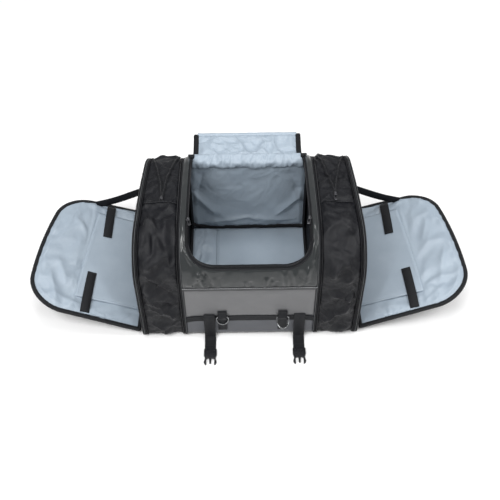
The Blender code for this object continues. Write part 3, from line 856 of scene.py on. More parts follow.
def make_opening_trim():
    """The opening's bound edge, its zip tape with one row of teeth, and the flap under it."""
    path = u_path(OPENING_HALF, OPENING_RADIUS, S_FRONT, S_HINGE)
    x, s, out = ribbon_of(path, -0.0032, 0.0012, (0.0016, 0.003, 0.0032, 0.0028, 0.001), 7)
    cloth("opening_binding", skin(x, s, out), 0.0008, "binding", flip=True)
    outs = (0.0014, 0.0006, -0.0002)
    ribbon("opening_tape", path, 0.0006, TAPE + 0.0004, outs, 0.0008, "tape", node="opening_zip_tape")
    ribbon_teeth("opening_teeth", path, TAPE - 0.0014, 0.0006, wide=0.003)
    x, s, out = ribbon_of(path[4:-4], TAPE - 0.0026, TAPE - 0.0019, (-0.0016, -0.005, -0.011))
    wave = 0.001 * rough(s / 0.02, x / 0.02, 52)
    cloth("opening_underflap", skin(x, s, out + wave * (out < -0.003)), 0.0006, "binding", flip=True)


# --- inside the main compartment ---------------------------------------------------------------------

REAR_WALL = [(0.1475, 0.2195), (0.145, 0.17), (0.14, 0.09), (0.1335, 0.03), (0.131, 0.0095)]
INSIDE_HALF = 0.138


REAR_FOLDS = [
    ((-0.132, 0.085), (-0.07, 0.165), 0.012, 0.006),
    ((0.132, 0.095), (0.06, 0.17), 0.012, 0.006),
    ((-0.11, 0.185), (0.02, 0.168), 0.007, 0.005),
    ((0.12, 0.18), (-0.01, 0.172), 0.007, 0.0045),
    ((-0.1, 0.02), (-0.12, 0.11), 0.012, -0.005),
    ((0.09, 0.02), (0.124, 0.1), 0.012, -0.005),
]


def rear_wall(t):
    """(y, z) at shares t of the rear wall's corner points, from its top down."""
    return (np.interp(t, np.linspace(0, 1, len(REAR_WALL)), c) for c in np.transpose(REAR_WALL))


def make_rear_lining():
    """The rear wall's lining: loose nylon, drawn in at its lower corners by the bound seam."""
    rows, cols = 64, 96
    path = resampled(REAR_WALL, 0.0035)
    t = np.linspace(0, 1, rows)
    y, z = (np.interp(t, np.linspace(0, 1, len(path)), c)[:, None] for c in path.T)
    x, t = np.meshgrid(np.linspace(-INSIDE_HALF, INSIDE_HALF, cols), t)
    v = t * 0.21
    inwards = 0.004 + 0.0018 * creased(x, v, 0.11, 61, 0.5, 1.6) + folds(x, v, REAR_FOLDS)
    inwards = inwards + 0.0007 * creased(x, v, 0.04, 63, -0.7, 2.2)
    inwards = inwards * side_hem(x, INSIDE_HALF, 0.06) * hem(t, 0.1)
    points = settled(points_at(x, y - inwards, z), 0.012, 0.004)
    lining = cloth("rear_wall_lining", points[::-1], 0.0007, "lining", node="rear_lining")


FLOOR_FRONT_Y = -(HALF_DEPTH - BASE_RADIUS - 0.008)
FLOOR_REAR_Y = 0.132
POCKET_SEAM_X = -0.077


def make_front_lining():
    x, s = field(INSIDE_HALF, 60, S_LOWER, S_FRONT - 0.006, 40)
    out = -0.0024 - 0.0012 * (1 + rough(x / 0.05, s / 0.04, 71)) * side_hem(x, INSIDE_HALF)
    lining = cloth("front_wall_lining", skin(x, s, out), 0.0006, "lining", node="front_lining", flip=True)


def make_floor():
    """The floor's lining: smooth over its board's pocket and gathered to the left of the pocket's seam."""
    x, y = field(INSIDE_HALF, 110, FLOOR_FRONT_Y, FLOOR_REAR_Y, 90)
    gathers = np.clip((POCKET_SEAM_X - x) / 0.02, 0, 1)
    rise = 0.0012 + 0.0012 * rough(x / 0.05, y / 0.06, 72) * (1 - gathers)
    rise = rise + gathers * (0.0028 + 0.0026 * creased(x, y, 0.02, 73, 1.35, 2.6))
    rise = rise - 0.0022 * np.exp(-(((x - POCKET_SEAM_X) / 0.0035) ** 2))
    edge = side_hem(x, INSIDE_HALF, 0.03) * hem((y - FLOOR_FRONT_Y) / (FLOOR_REAR_Y - FLOOR_FRONT_Y), 0.03)
    points = points_at(x, y, 0.0062 + rise * edge)
    floor = cloth("floor_cloth", points, 0.0005, "lining", node="floor_lining")
    y = np.linspace(FLOOR_FRONT_Y + 0.004, FLOOR_REAR_Y - 0.002, 80)
    stitches("floor_seam_thread", points_at(POCKET_SEAM_X, y, 0.0066), (0, 0, 1), 0.0026, 0.0009)


def make_inner_bindings(label, side):
    """The bound seams up a corner of the compartment and along a side of its floor."""
    y, z = rear_wall(np.linspace(0, 1, 50))
    path = points_at(side * (INSIDE_HALF - 0.0022), y - 0.004, z)
    sweep(f"{label}_corner_binding", path, (-side * 0.6, -0.8, 0), strip(0.0075, 0.0028), "binding")
    y = np.linspace(FLOOR_FRONT_Y + 0.002, FLOOR_REAR_Y - 0.004, 60)
    path = points_at(side * (INSIDE_HALF - 0.001), y, 0.0095 + 0.0006 * rough(y / 0.03, 0 * y, 76))
    sweep(f"{label}_floor_binding", path, (-side * 0.6, 0, 0.8), strip(0.007, 0.0026), "binding")


def make_inside():
    """Front wall, floor, side walls and the bound seams of the compartment."""
    make_front_lining()
    make_floor()
    x = np.linspace(-INSIDE_HALF, INSIDE_HALF, 70)
    lift = 0.0145 + 0.0022 * rough(x / 0.06, x * 0, 74) + 0.01 * np.clip((-x - 0.085) / 0.05, 0, 1) ** 2
    path = points_at(x, 0.1285 + 0.0015 * rough(x / 0.05, x * 0, 75), lift)
    sweep("floor_rear_binding", path, (0, -0.8, 0.6), strip(0.0095, 0.003), "binding")
    for label, side in SIDES.items():
        make_inner_bindings(label, side)
        make_divider(label, side)


def make_divider(label, side):
    """The wall between the compartments: black cloth that hangs slack from the seam ring."""
    y, z = at(all_round(220)[:, None], -0.0065)
    t = np.linspace(0, 1, 26)
    middle_z, reach = 0.125, 1 - 0.995 * t
    y, z = y * reach, middle_z + (np.maximum(z, 0.0068) - middle_z) * reach
    slack = 0.0022 * creased(y, z, 0.06, 81 + side, 1.2, 1.8) * hem(np.clip(t * 2, 0, 0.5), 0.3)
    cloth(f"{label}_divider_cloth", points_at(side * (CENTRE_HALF + 0.0022 + slack), y, z), 0.0006, "shadow",
          node=f"{label}_divider", wrap=True, flip=side > 0)


# --- side compartments -------------------------------------------------------------------------------


def ring(name, x_of, section, paint, **how):
    """A band round the whole profile. The section holds (x offset, out) points."""
    section = np.asarray(section)
    y, z = at(all_round(360)[:, None], section[None, :, 1])
    points = points_at(x_of(y) + section[None, :, 0], y, np.maximum(z, 0.0002))
    return skein(name, points, paint, closed=True, **how)


def band_section(low, high, bottom, top, side, crown=0.0):
    """A flat band's section between two x offsets, rounded at its upper edges, from inside outwards."""
    r = min((high - low) * 0.3, (top - bottom) * 0.6)
    section = [(low, bottom), (high, bottom), (high, top - r), (high - r, top)]
    section += [((low + high) / 2, top + crown), (low + r, top), (low, top - r)]
    section = [(side * x, out) for x, out in section]
    return section if side > 0 else section[::-1]


def ring_teeth(name, x_of, out, body, wide=0.003):
    """A zip's teeth round the whole profile."""
    s = all_round(500)
    y, z = at(s, out)
    path = points_at(x_of(y), y, np.maximum(z, 0.0012))
    return teeth(name, path, surface_up(0 * s, s), 0.0013, wide, closed=True, body=body)


def make_seam_ring(label, side):
    """The seam between the centre and a side: piping, a bound edge and half of the expansion zip."""

    def inner(y):
        return side * CENTRE_HALF + 0 * y

    name = f"{label}_seam"
    for part, low, high, bottom, top, crown, paint, node in (
        ("piping", 0.0002, 0.0017, -0.004, 0.003, 0.0003, "piping", None),
        ("binding", 0.0018, 0.0052, -0.0055, 0.0028, 0.0005, "binding", f"{name}_ring"),
        ("tape", 0.0053, 0.0096, -0.005, 0.0012, 0.0, "tape", None),
    ):
        ring(f"{name}_{part}", inner, band_section(low, high, bottom, top, side, crown), paint, node=node)
    ring_teeth(f"{name}_teeth", lambda y: inner(y) + side * 0.008, 0.0019, "root", 0.0028)


def make_frame(label, side):
    """The outer frame: a bound edge, piping, the door zip's tape with its teeth, and an inner edge."""
    body = f"{label}_side_frame"
    name = f"{label}_frame"
    for part, low, high, bottom, top, crown, paint, node in (
        ("edge", -0.0042, -0.0002, -0.0075, 0.0022, 0.0008, "binding", name),
        ("piping", -0.0056, -0.0043, -0.006, 0.003, 0.0002, "piping", None),
        ("tape", -0.01, -0.0057, -0.006, 0.0012, 0.0, "tape", None),
        ("inner", -0.0122, -0.0101, -0.006, 0.0024, 0.0004, "binding", None),
    ):
        section = band_section(low, high, bottom, top, side, crown)
        ring(f"{name}_{part}", lambda y: face(side, y), section, paint, body=body, node=node)
    ring_teeth(f"{name}_teeth", lambda y: face(side, y, -0.0078), 0.0018, body)


def gusset_inner(side):
    return side * (RING_OUTER + 0.0002)


def gusset_x(side, y, t):
    """X at a share t of the way from the seam ring to the frame."""
    return gusset_inner(side) * (1 - t) + face(side, y, -FRAME_WIDTH - 0.0001) * t


def across_gusset(obj):
    """Bakes the world transform into a piece that lies on a gusset between the seam ring and the frame, which
    slides inwards.
    """
    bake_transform(obj)


GUSSET_ROWS = 330
GUSSET_COLS = 34
GUSSET_FOLDS = {
    "left": [
        ((0.165, 0.255), (0.205, 0.33), 0.006, 0.007),
        ((0.205, 0.33), (0.225, 0.255), 0.006, 0.006),
        ((0.16, 0.15), (0.215, 0.215), 0.006, 0.007),
        ((0.152, 0.06), (0.22, 0.145), 0.006, 0.0075),
        ((0.215, 0.215), (0.165, 0.255), 0.006, 0.006),
    ],
    "right": [
        ((0.165, 0.19), (0.19, 0.235), 0.006, 0.0065),
        ((0.19, 0.235), (0.222, 0.195), 0.006, 0.0065),
        ((0.16, 0.04), (0.222, 0.12), 0.007, 0.0075),
        ((0.222, 0.12), (0.17, 0.15), 0.006, 0.006),
    ],
}


def gusset_height(label, w, s):
    """How far a gusset's cloth stands out: slack diagonal folds from seam to seam. w is x from the middle."""
    seed = 101 if label == "left" else 131
    height = 0.0125 * creased(w, s, 0.07, seed, 0.95, 1.8)
    height = height + 0.0034 * creased(w, s, 0.034, seed + 5, -0.8, 2.2)
    height = height + 0.0014 * rough(w / 0.012, s / 0.016, seed + 9)
    return height + folds(w, s - S_BASE, GUSSET_FOLDS[label], 1.4, 1.3) - 0.0022


def make_gusset(label, side):
    """The slack nylon between the seam ring and the frame. Returns its points, for what is sewn to it."""
    s = all_round(GUSSET_ROWS)[:, None]
    t = np.linspace(0, 1, GUSSET_COLS)[None, :]
    y, z = at(s)
    x = gusset_x(side, y, t)
    slack = hem(t, 0.22) * (0.3 + 0.7 * np.clip(z / 0.05, 0, 1)) * zip_hold(s)
    points = skin(x, s, -0.001 + gusset_height(label, side * x, s) * slack)
    points = settled(points, 0.04, 0.007, wrap=True)
    points[..., 2] = np.maximum(points[..., 2], 0.001)
    obj = cloth(f"{label}_gusset_cloth", points, 0.0009, "nylon", wrap=True, flip=side < 0, body=None,
                node=f"{label}_gusset")
    across_gusset(obj)
    return points


APEX_X = 0.183
APEX_Y = -0.012
ZIP_REAR_Y = 0.138


def zip_hold(s):
    """The share of slack left where the V of zip tracks holds the cloth."""
    apex, rear = along_top(APEX_Y), along_top(ZIP_REAR_Y)
    return 1 - 0.45 * hem((s - apex + 0.02) / (rear - apex + 0.03), 0.15)


def on_gusset(points, side, x, s, lift):
    """Points on a gusset's settled cloth at (x, s), lifted off it, with the directions out of it."""
    y, _ = at(s)
    t = (x - gusset_inner(side)) / (gusset_x(side, y, 1.0) - gusset_inner(side))
    row = np.mod(s / AROUND * GUSSET_ROWS, GUSSET_ROWS)
    col = np.clip(t, 0, 1) * (GUSSET_COLS - 1)
    i, j = np.floor(row).astype(int), np.minimum(np.floor(col).astype(int), GUSSET_COLS - 2)
    f, g = (row - i)[..., None], (col - j)[..., None]
    rows = (i % GUSSET_ROWS, (i + 1) % GUSSET_ROWS)
    above, below = (points[k, j] * (1 - g) + points[k, j + 1] * g for k in rows)
    up = surface_up(x, s)
    return above * (1 - f) + below * f + up * lift, up


def make_expansion_zip(label, side, points):
    """The V where the expansion zip's two tracks leave their slider, and the slider itself."""
    apex, rear = along_top(APEX_Y), along_top(ZIP_REAR_Y)
    t = np.linspace(0, 1, 70)
    bow = 0.004 * np.sin(math.pi * t)
    inner = side * (APEX_X + (0.155 - APEX_X) * t + bow)
    outer = side * (APEX_X + (0.213 - APEX_X) * t - bow)
    s = apex + (rear - apex) * t
    x, s = np.concatenate([inner[::-1], outer[1:]]), np.concatenate([s[::-1], s[1:]])
    path, up = on_gusset(points, side, x, s, 0.0014)
    tape = sweep(f"{label}_expansion_tape", path, up, strip(0.0085, 0.0012), "tape", body=None,
                 node=f"{label}_expansion_zip")
    coil = teeth(f"{label}_expansion_teeth", path + up * 0.0012, up, 0.0013, 0.003, body=None)
    x = np.linspace(side * 0.1505, side * 0.2265, 40)
    x = x[np.abs(x) < np.abs(face(side, APEX_Y, -FRAME_WIDTH - 0.001))]
    path, up = on_gusset(points, side, x, np.full(len(x), along_top(APEX_Y - 0.018)), 0.0016)
    seam = sweep(f"{label}_gusset_seam", path, up, oval(0.0042, 0.0018), "nylon", body=None)
    for obj in (tape, coil, seam):
        across_gusset(obj)
    place, up = on_gusset(points, side, np.array([side * APEX_X]), np.array([apex]), 0.0026)
    slider(f"{label}_expansion_slider", place[0], (side * 0.12, -1.0, 0.05), up[0],
           f"{label}_expansion_pull", side * 0.15)


def slider(name, place, along, up, body, swing):
    """A zip slider: a wedge-shaped body with its bridge, and a wire pull that swings on it."""
    along = Vector(along).normalized()
    up = (Vector(up) - along * along.dot(Vector(up))).normalized()
    beside = along.cross(up)
    axes = np.array([along, beside, up])

    def set_in(points, turn=0.0):
        return np.array(place) + turned(points, turn, (0.0, 0.0, 1.0), np.zeros(3)) @ axes

    rows = []
    for x, width, height in (
        (-0.0052, 0.0034, 0.0014), (-0.0046, 0.005, 0.0026), (-0.002, 0.0062, 0.0032),
        (0.0016, 0.0076, 0.0032), (0.004, 0.0078, 0.0028), (0.005, 0.0066, 0.0016),
    ):
        rows.append([(x, a, b + 0.0006) for a, b in oval(width, height, 12, 0.6)])
    skein(f"{name}_body", set_in(rows), "slider", body=body, node=name)
    angles = np.linspace(0.15, math.pi - 0.15, 9)
    bridge = points_at(0.0034 * np.cos(angles), 0.0, 0.0018 + 0.0026 * np.sin(angles))
    sweep(f"{name}_bridge", set_in(bridge), beside, oval(0.0009, 0.0022), "slider", body=body)
    loop = []
    for k in range(40):
        a = 2 * math.pi * k / 40
        c, s = math.cos(a), math.sin(a)
        loop.append((0.0105 + 0.0092 * math.copysign(abs(c) ** 0.6, c),
                     (0.0026 + 0.0006 * c) * math.copysign(abs(s) ** 0.6, s), 0.0036 - 0.0012 * (1 + c)))
    sweep(f"{name}_pull", set_in(loop, swing), up, oval(0.0014, 0.0011), "slider", closed=True, body=body)
    tip = [[(x, a, b + 0.0012) for a, b in oval(width, 0.0015, 10, 0.6)]
           for x, width in ((0.0128, 0.0036), (0.015, 0.0048), (0.0186, 0.0052), (0.0202, 0.004))]
    skein(f"{name}_tip", set_in(tip, swing), "slider", body=body)


# --- doors -------------------------------------------------------------------------------------------


def door_mover(label, side):
    """Turns points from a door's closed pose to its open one."""
    pivot = np.array(JOINTS[f"{label}_door_hinge"]["pos_m"])
    axis = Vector((-side * FRAME_TOE, 1.0, 0.0)).normalized()
    return lambda points: turned(points, side * DOOR_OPEN, axis, pivot)


def door_grid(inset, low, rows, cols):
    """(y, z) grids that fill a door's outline, in columns from its lower edge to its top."""
    split = up_front(SPLIT_Z)
    upper_y, upper_z = at(np.linspace(split, AROUND - 1e-6, 500), -inset)
    lower_y, lower_z = at(np.linspace(0, split, 500)[::-1], -inset)
    least, most = upper_y.min() + 0.0002, upper_y.max() - 0.0002
    y = (least + most) / 2 - (most - least) / 2 * np.cos(np.linspace(0, math.pi, cols))
    order = np.argsort(lower_y)
    bottom = np.maximum(np.interp(y, lower_y[order], lower_z[order]), low)
    t = np.linspace(0, 1, rows)[:, None]
    return np.broadcast_arrays(y, bottom * (1 - t) + np.interp(y, upper_y, upper_z) * t)


def door_place(side, depth, y, z):
    """Points of a closed door, at depths outwards from the frame's face."""
    return points_at(face(side, y, depth), y, z)


def door_edge_distance(y, z):
    """A door's distance from its binding, roughly, in metres, and the nearest length along the profile."""
    s = all_round(160)
    edge_y, edge_z = at(s, -0.015)
    edge_z = np.maximum(edge_z, DOOR_LOW + 0.0085)
    away = np.hypot(y[..., None] - edge_y, z[..., None] - edge_z)
    return away.min(axis=-1), s[away.argmin(axis=-1)]


def make_door_edge(label, side, how):
    s = all_round(360)
    depth, inset = np.transpose(oval(0.0078, 0.0092, 14, 0.7)) + [[0.004], [0.0112]]
    y, z = at(s[:, None], -inset[None, :])
    z = np.maximum(z, DOOR_LOW + inset - 0.0068)
    depth = depth + 0.0004 * rough(s / 0.03, 0 * s, DOOR_SEEDS[label])[:, None]
    skein(f"{label}_door_edge", door_place(side, depth, y, z), "binding", closed=True,
          node=f"{label}_door_binding", **how)
    inset = 0.0146
    y, z = at(s, -inset)
    path = door_place(side, 0.0004, y, np.maximum(z, DOOR_LOW + inset - 0.0068))
    stitches(f"{label}_door_inner_thread", path, (-side, 0, 0), 0.0026, fill=0.7, closed=True, **how)


def make_door_lining(label, side, how):
    """The lining, gathered along the binding and puffed where no board lies under it."""
    seed = DOOR_SEEDS[label]
    y, z = door_grid(0.0142, DOOR_LOW + 0.0078, 84, 90)
    away, station = door_edge_distance(y, z)
    gathers = np.exp(-away / 0.014) * rough(station / 0.008, away / 0.03, seed + 1)
    outer = np.clip((z - 0.15 + 0.06 * (y + 0.117)) / 0.02, 0, 1)
    slack = np.clip(np.maximum(z - 0.165, np.abs(y - 0.005) - 0.128) / 0.015, 0, 1)
    puff = 0.0008 + 0.0026 * outer + 0.0024 * gathers
    puff = puff + (0.0003 + 0.004 * slack) * creased(y, z, 0.052, seed + 2, side * 0.9, 1.8)
    puff = puff + folds(y, z, DOOR_FOLDS[label], taller=0.7) * slack
    depth = 0.0022 - np.maximum(puff, 0) * ease(np.clip(away / 0.01, 0, 1))
    points = settled(door_place(side, depth, y, z), 0.012, 0.002)
    deepest = door_place(side, 0.0023, y, z)[..., 0]
    points[..., 0] = side * np.minimum(side * points[..., 0], side * deepest)
    lining = cloth(f"{label}_door_inner_cloth", points, 0.0006, "lining", flip=side > 0,
                   node=f"{label}_door_lining", **how)


def make_door_pocket(label, side, how):
    """The stiff panel in its sleeve on the hinge side."""
    u, v = np.meshgrid(np.linspace(0, 1, 60), np.linspace(0, 1, 40))
    y = -0.12 + 0.25 * u
    z = 0.024 + v * (0.146 - 0.02 * u + 0.003 * np.sin(math.pi * u))
    lift = (0.0005 * rough(y / 0.06, z / 0.05, DOOR_SEEDS[label] + 4) + 0.0014) * hem(u, 0.03) * hem(v, 0.04)
    pocket = cloth(f"{label}_door_pocket_cloth", door_place(side, -0.0022 - lift, y, z), 0.0022, "lining",
                   flip=side > 0, node=f"{label}_door_pocket", **how)
    border = np.array([(-0.1165, 0.0275), (0.1265, 0.0275), (0.1265, 0.144), (-0.1145, 0.1645)])
    path = resampled(door_place(side, -0.0042, *border.T), 0.004, closed=True)
    stitches(f"{label}_door_pocket_thread", path, (-side, 0, 0), wide=0.0006, paint="lining", fill=0.7,
             closed=True, **how)


def make_door_outside(label, side, how):
    y, z = door_grid(0.015, DOOR_LOW + 0.0088, 50, 60)
    away, _ = door_edge_distance(y, z)
    bulge = 0.0016 + 0.0012 * rough(y / 0.07, z / 0.06, DOOR_SEEDS[label] + 6)
    points = door_place(side, 0.0072 + bulge * ease(np.clip(away / 0.03, 0, 1)), y, z)
    cloth(f"{label}_door_outer_cloth", points, 0.0012, "nylon", flip=side < 0, node=f"{label}_door_shell",
          **how)


def make_door_straps(label, side, how):
    """The straps that hold what is carried on the door, sewn down at one end."""
    for place, sewn_y, free_y, low, high in (
        ("rear", 0.06, 0.157, 0.11, 0.131), ("front", -0.05, -0.157, 0.13, 0.152),
    ):
        t = np.linspace(0, 1, 40)
        z = (low + high) / 2 + 0.0016 * np.sin(2.2 * t)
        depth = -0.0052 - 0.0016 * np.sin(math.pi * t) + 0.0044 * np.clip((t - 0.9) / 0.1, 0, 1)
        path = door_place(side, depth, np.linspace(sewn_y, free_y, 40), z)
        sweep(f"{label}_door_{place}_webbing", path, (-side, 0, 0), strip(0.0208, 0.0016), "webbing",
              node=f"{label}_door_{place}_strap", **how)
        for number, along in ((1, 0.004), (2, 0.012)):
            y = sewn_y + math.copysign(along, free_y - sewn_y)
            row = door_place(side, -0.0062, y, np.linspace(low + 0.002, high - 0.002, 12))
            stitches(f"{label}_door_{place}_strap_thread_{number}", row, (-side, 0, 0), **how)


def make_door(label, side):
    how = {"body": f"{label}_door", "move": door_mover(label, side)}
    for part in (make_door_edge, make_door_lining, make_door_pocket, make_door_outside, make_door_straps):
        part(label, side, how)


DOOR_SEEDS = {"left": 201, "right": 231}


DOOR_FOLDS = {
    "left": [
        ((-0.15, 0.205), (-0.06, 0.235), 0.008, 0.005),
        ((-0.095, 0.19), (-0.02, 0.225), 0.008, 0.0045),
        ((0.06, 0.16), (0.1, 0.205), 0.007, 0.004),
        ((-0.14, 0.15), (-0.12, 0.235), 0.007, 0.0045),
    ],
    "right": [
        ((-0.12, 0.205), (-0.01, 0.238), 0.008, 0.0045),
        ((0.01, 0.19), (0.08, 0.215), 0.007, 0.004),
        ((-0.15, 0.16), (-0.11, 0.225), 0.007, 0.004),
    ],
}


def make_door_fabric(label, side):
    """What joins a door to its frame: the hinge cloth along the bottom and the check strap at the rear."""
    move, bodies = door_mover(label, side), (f"{label}_side_frame", f"{label}_door")
    y = np.linspace(-0.138, 0.138, 60)
    points = np.stack([
        door_place(side, -0.0016, y, 0.006), door_place(side, 0.0024, y, 0.004),
        move(door_place(side, 0.007, y, 0.0125)), move(door_place(side, 0.008, y, 0.019)),
    ], axis=1)
    points[..., 2] = np.maximum(points[..., 2], 0.0012)
    hinge = cloth(f"{label}_door_hinge_cloth", points, 0.001, "nylon", body=None, flip=side > 0)
    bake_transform(hinge)

    y = 0.1606
    lie = math.pi / 2 - DOOR_OPEN
    reach, up = 0.149, 0.0052
    low = np.array([face(side, y, 0.0006), y, 0.123])
    high = np.array([
        face(side, y, 0.004) + side * (reach * math.cos(lie) - up * math.sin(lie)), y,
        0.01 + reach * math.sin(lie) + up * math.cos(lie),
    ])
    t = np.linspace(0, 1, 40)[:, None]
    path = low * (1 - t) + high * t
    path[:, 2] -= 0.004 * np.sin(math.pi * t[:, 0])
    path[:, 1] += 0.0012 * np.sin(2 * math.pi * t[:, 0])
    strap = sweep(f"{label}_check_webbing", path, (0, -1, 0), strip(0.0215, 0.0014), "webbing", body=None,
                  node=f"{label}_check_strap")
    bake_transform(strap)
    place = (face(side, HALF_DEPTH, -0.006), at(down_rear(0.04), 0.003)[0], 0.04)
    slider(f"{label}_door_slider", place, (0, 0, -1), (0, 1, 0), f"{label}_door_pull", 0.0)


# --- lid ---------------------------------------------------------------------------------------------

HINGE = np.array(JOINTS["lid_hinge"]["pos_m"])
ACROSS = (1.0, 0.0, 0.0)
FOLD = turned(JOINTS["lid_fold"]["pos_m"], LID_OPEN, ACROSS, HINGE)
STRIP_HALF = OPENING_HALF - TAPE - 0.0003


def open_strip(points):
    return turned(points, -LID_OPEN, ACROSS, HINGE)


def open_flap(points):
    return open_strip(turned(points, -FOLD_OPEN, ACROSS, FOLD))


def make_lid_strip():
    """The part of the lid next to its hinge, which leans back with its lining up."""
    how = {"body": "lid_strip", "move": open_strip}
    low, half = S_FOLD + 0.004, STRIP_HALF - 0.0006
    x, s = field(half, 80, low, S_HINGE - 0.002, 36)
    out = (0.0016 + 0.0012 * rough(x / 0.06, s / 0.03, 301)) * side_hem(x, half, 0.05)
    cloth("lid_strip_cloth", skin(x, s, out), 0.0013, "yoke", node="lid_hinge_strip", **how)
    half, high = STRIP_HALF - 0.006, S_HINGE - 0.01
    x, s = field(half, 100, low, high, 44)
    edge = side_hem(x, half, 0.08) * hem((s - low) / (high - low), 0.14)
    puff = 0.003 + 0.0038 * creased(x, s, 0.046, 303, 1.1, 1.7)
    puff = puff + 0.0014 * creased(x, s, 0.02, 307, 0.4, 2.0)
    points = settled(skin(x, s, -0.003 - np.maximum(puff, -0.0006) * edge), 0.05, 0.006)
    lining = cloth("lid_strip_lining", points, 0.0006, "lining", flip=True, **how)
    s = np.linspace(low, S_HINGE - 0.003, 30)
    for label, side in SIDES.items():
        up = surface_up(0 * s, s)
        path = skin(side * (STRIP_HALF - 0.0058), s, -0.0036)
        sweep(f"{label}_strip_tape", path, -up, strip(0.011, 0.0022), "tape", **how)
        teeth(f"{label}_strip_teeth", skin(side * (STRIP_HALF - 0.0006), s, -0.0026), up, **how)


def make_hinge_cloth():
    """The crumpled cloth over the lid's hinge, from the rear wall's top to the lid's lining."""
    outline = [(0.145, 0.204), (0.139, 0.208), (0.135, 0.215), (0.1365, 0.2235), (0.1425, 0.229),
               (0.15, 0.231), (0.159, 0.233)]
    bend = smoothed(resampled([(0.0, y, z) for y, z in outline], 0.0016), 3)
    half = 0.1285
    x, t = field(half, 120, 0, 1, len(bend))
    steps = np.gradient(bend, axis=0)
    normal = unit(points_at(0.0, -steps[:, 2], steps[:, 1]))
    crease = 0.003 * creased(x, t * 0.045, 0.018, 311, 1.25, 2.2)
    crease = crease + 0.0014 * rough(x / 0.007, t * 3, 313) + 0.002 * rough(x / 0.05, t, 317)
    crease = crease * hem(t, 0.12) * side_hem(x, half, 0.04)
    points = bend[:, None] + normal[:, None] * crease[..., None]
    points[..., 0] = x * (1 - 0.045 * t)
    obj = cloth("lid_hinge_cloth", points, 0.0006, "lining", body=None)
    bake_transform(obj)
    angle = np.linspace(0, math.pi, 18)
    for label, side in SIDES.items():
        path = points_at(side * 0.1275, 0.153 - 0.0055 * np.cos(angle), 0.2275 + 0.009 * np.sin(angle))
        sweep(f"{label}_corner_loop", path, ACROSS, [(b, a) for a, b in strip(0.014, 0.0014)], "webbing")


def u_grid(half, radius, front, rear):
    """(x, s) grid of a U-shaped panel, with rows that shorten round its front corners."""
    turn = front + radius * (1 - np.cos(np.linspace(0.06, math.pi / 2, 20)))
    s = np.concatenate([turn, np.linspace(turn[-1], rear, 31)[1:]])[:, None]
    into = np.clip(radius - (s - front), 0, radius)
    width = half - radius + np.sqrt(np.maximum(radius**2 - into**2, 0))
    return np.broadcast_arrays(np.linspace(-1, 1, 60) * width, s)


def make_lid_flap():
    """The rest of the lid, hanging behind the bag."""
    how = {"body": "lid_flap", "move": open_flap}
    gap, rear = TAPE + 0.0003, S_FOLD - 0.004
    front, half, radius = S_FRONT + 2 * gap, OPENING_HALF - 2 * gap, OPENING_RADIUS - 2 * gap
    x, s = u_grid(half, radius, front, rear)
    edge = hem((s - front) / (S_FOLD - front), 0.08) * side_hem(x, half, 0.06)
    out = (0.0022 + 0.0018 * rough(x / 0.08, s / 0.07, 321)) * edge
    cloth("lid_panel_cloth", skin(x, s, out), 0.0013, "yoke", node="lid_panel", **how)
    x, s = u_grid(half - 0.002, radius - 0.002, front + 0.002, rear)
    puff = 0.0022 + 0.0024 * creased(x, s, 0.05, 323, 0.8, 1.6)
    lining = cloth("lid_panel_lining", skin(x, s, -0.0022 - np.maximum(puff, 0) * edge), 0.0006, "lining",
                   flip=True, node="lid_lining", **how)
    path = u_path(STRIP_HALF, OPENING_RADIUS - gap, S_FRONT + gap, rear)
    outs = (0.0002, 0.0012, 0.0016, 0.0012)
    ribbon("lid_tape", path, 0.001, TAPE + 0.0016, outs, 0.0012, "tape", node="lid_zip_tape", **how)
    ribbon_teeth("lid_teeth", path, 0.0012, 0.0004, **how)


def make_fold_cloth():
    """The bend between the lid's two parts."""
    rows = 14
    shares = ease(np.linspace(0, 1, rows))
    x, s = field(STRIP_HALF, 70, S_FOLD + 0.006, S_FOLD - 0.006, rows)
    for name, width, out, thickness, paint, flip in (
        ("lid_fold_cloth", 0.994, 0.0006, 0.0012, "yoke", True),
        ("lid_fold_lining", 0.93, -0.0034, 0.0006, "lining", False),
    ):
        flat = skin(x * width, s, out + 0.0006 * rough(x / 0.02, s / 0.01, 331))
        points = np.array([open_strip(turned(row, -FOLD_OPEN * share, ACROSS, FOLD))
                           for row, share in zip(flat, shares)])
        obj = cloth(name, points, thickness, paint, body=None, flip=flip)
        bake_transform(obj)


# --- webbing, rings, straps and buckles --------------------------------------------------------------


def make_webbing():
    x = np.linspace(-CENTRE_HALF, CENTRE_HALF, 110)
    droop = 0.006 * np.clip((np.abs(x) - 0.112) / 0.028, 0, 1) ** 1.5
    for name, low, high in (
        ("front", up_front(WEBBING_BAND[0]) - droop, up_front(WEBBING_BAND[1]) - droop),
        ("rear", down_rear(WEBBING_BAND[1]) + 0 * x, down_rear(WEBBING_BAND[0]) + 0 * x),
    ):
        s = low + (high - low) * np.linspace(0, 1, 10)[:, None]
        out = 0.0022 + 0.0007 * rough(x / 0.03, s / 0.02, 351)
        cloth(f"{name}_webbing_strip", skin(x, s, out), 0.0014, "webbing", node=f"{name}_webbing")
        for number, share in ((1, 0.12), (2, 0.88)):
            row = low + (high - low) * share
            stitches(f"{name}_webbing_thread_{number}", skin(x, row, 0.0028), surface_up(x, row), 0.0028)


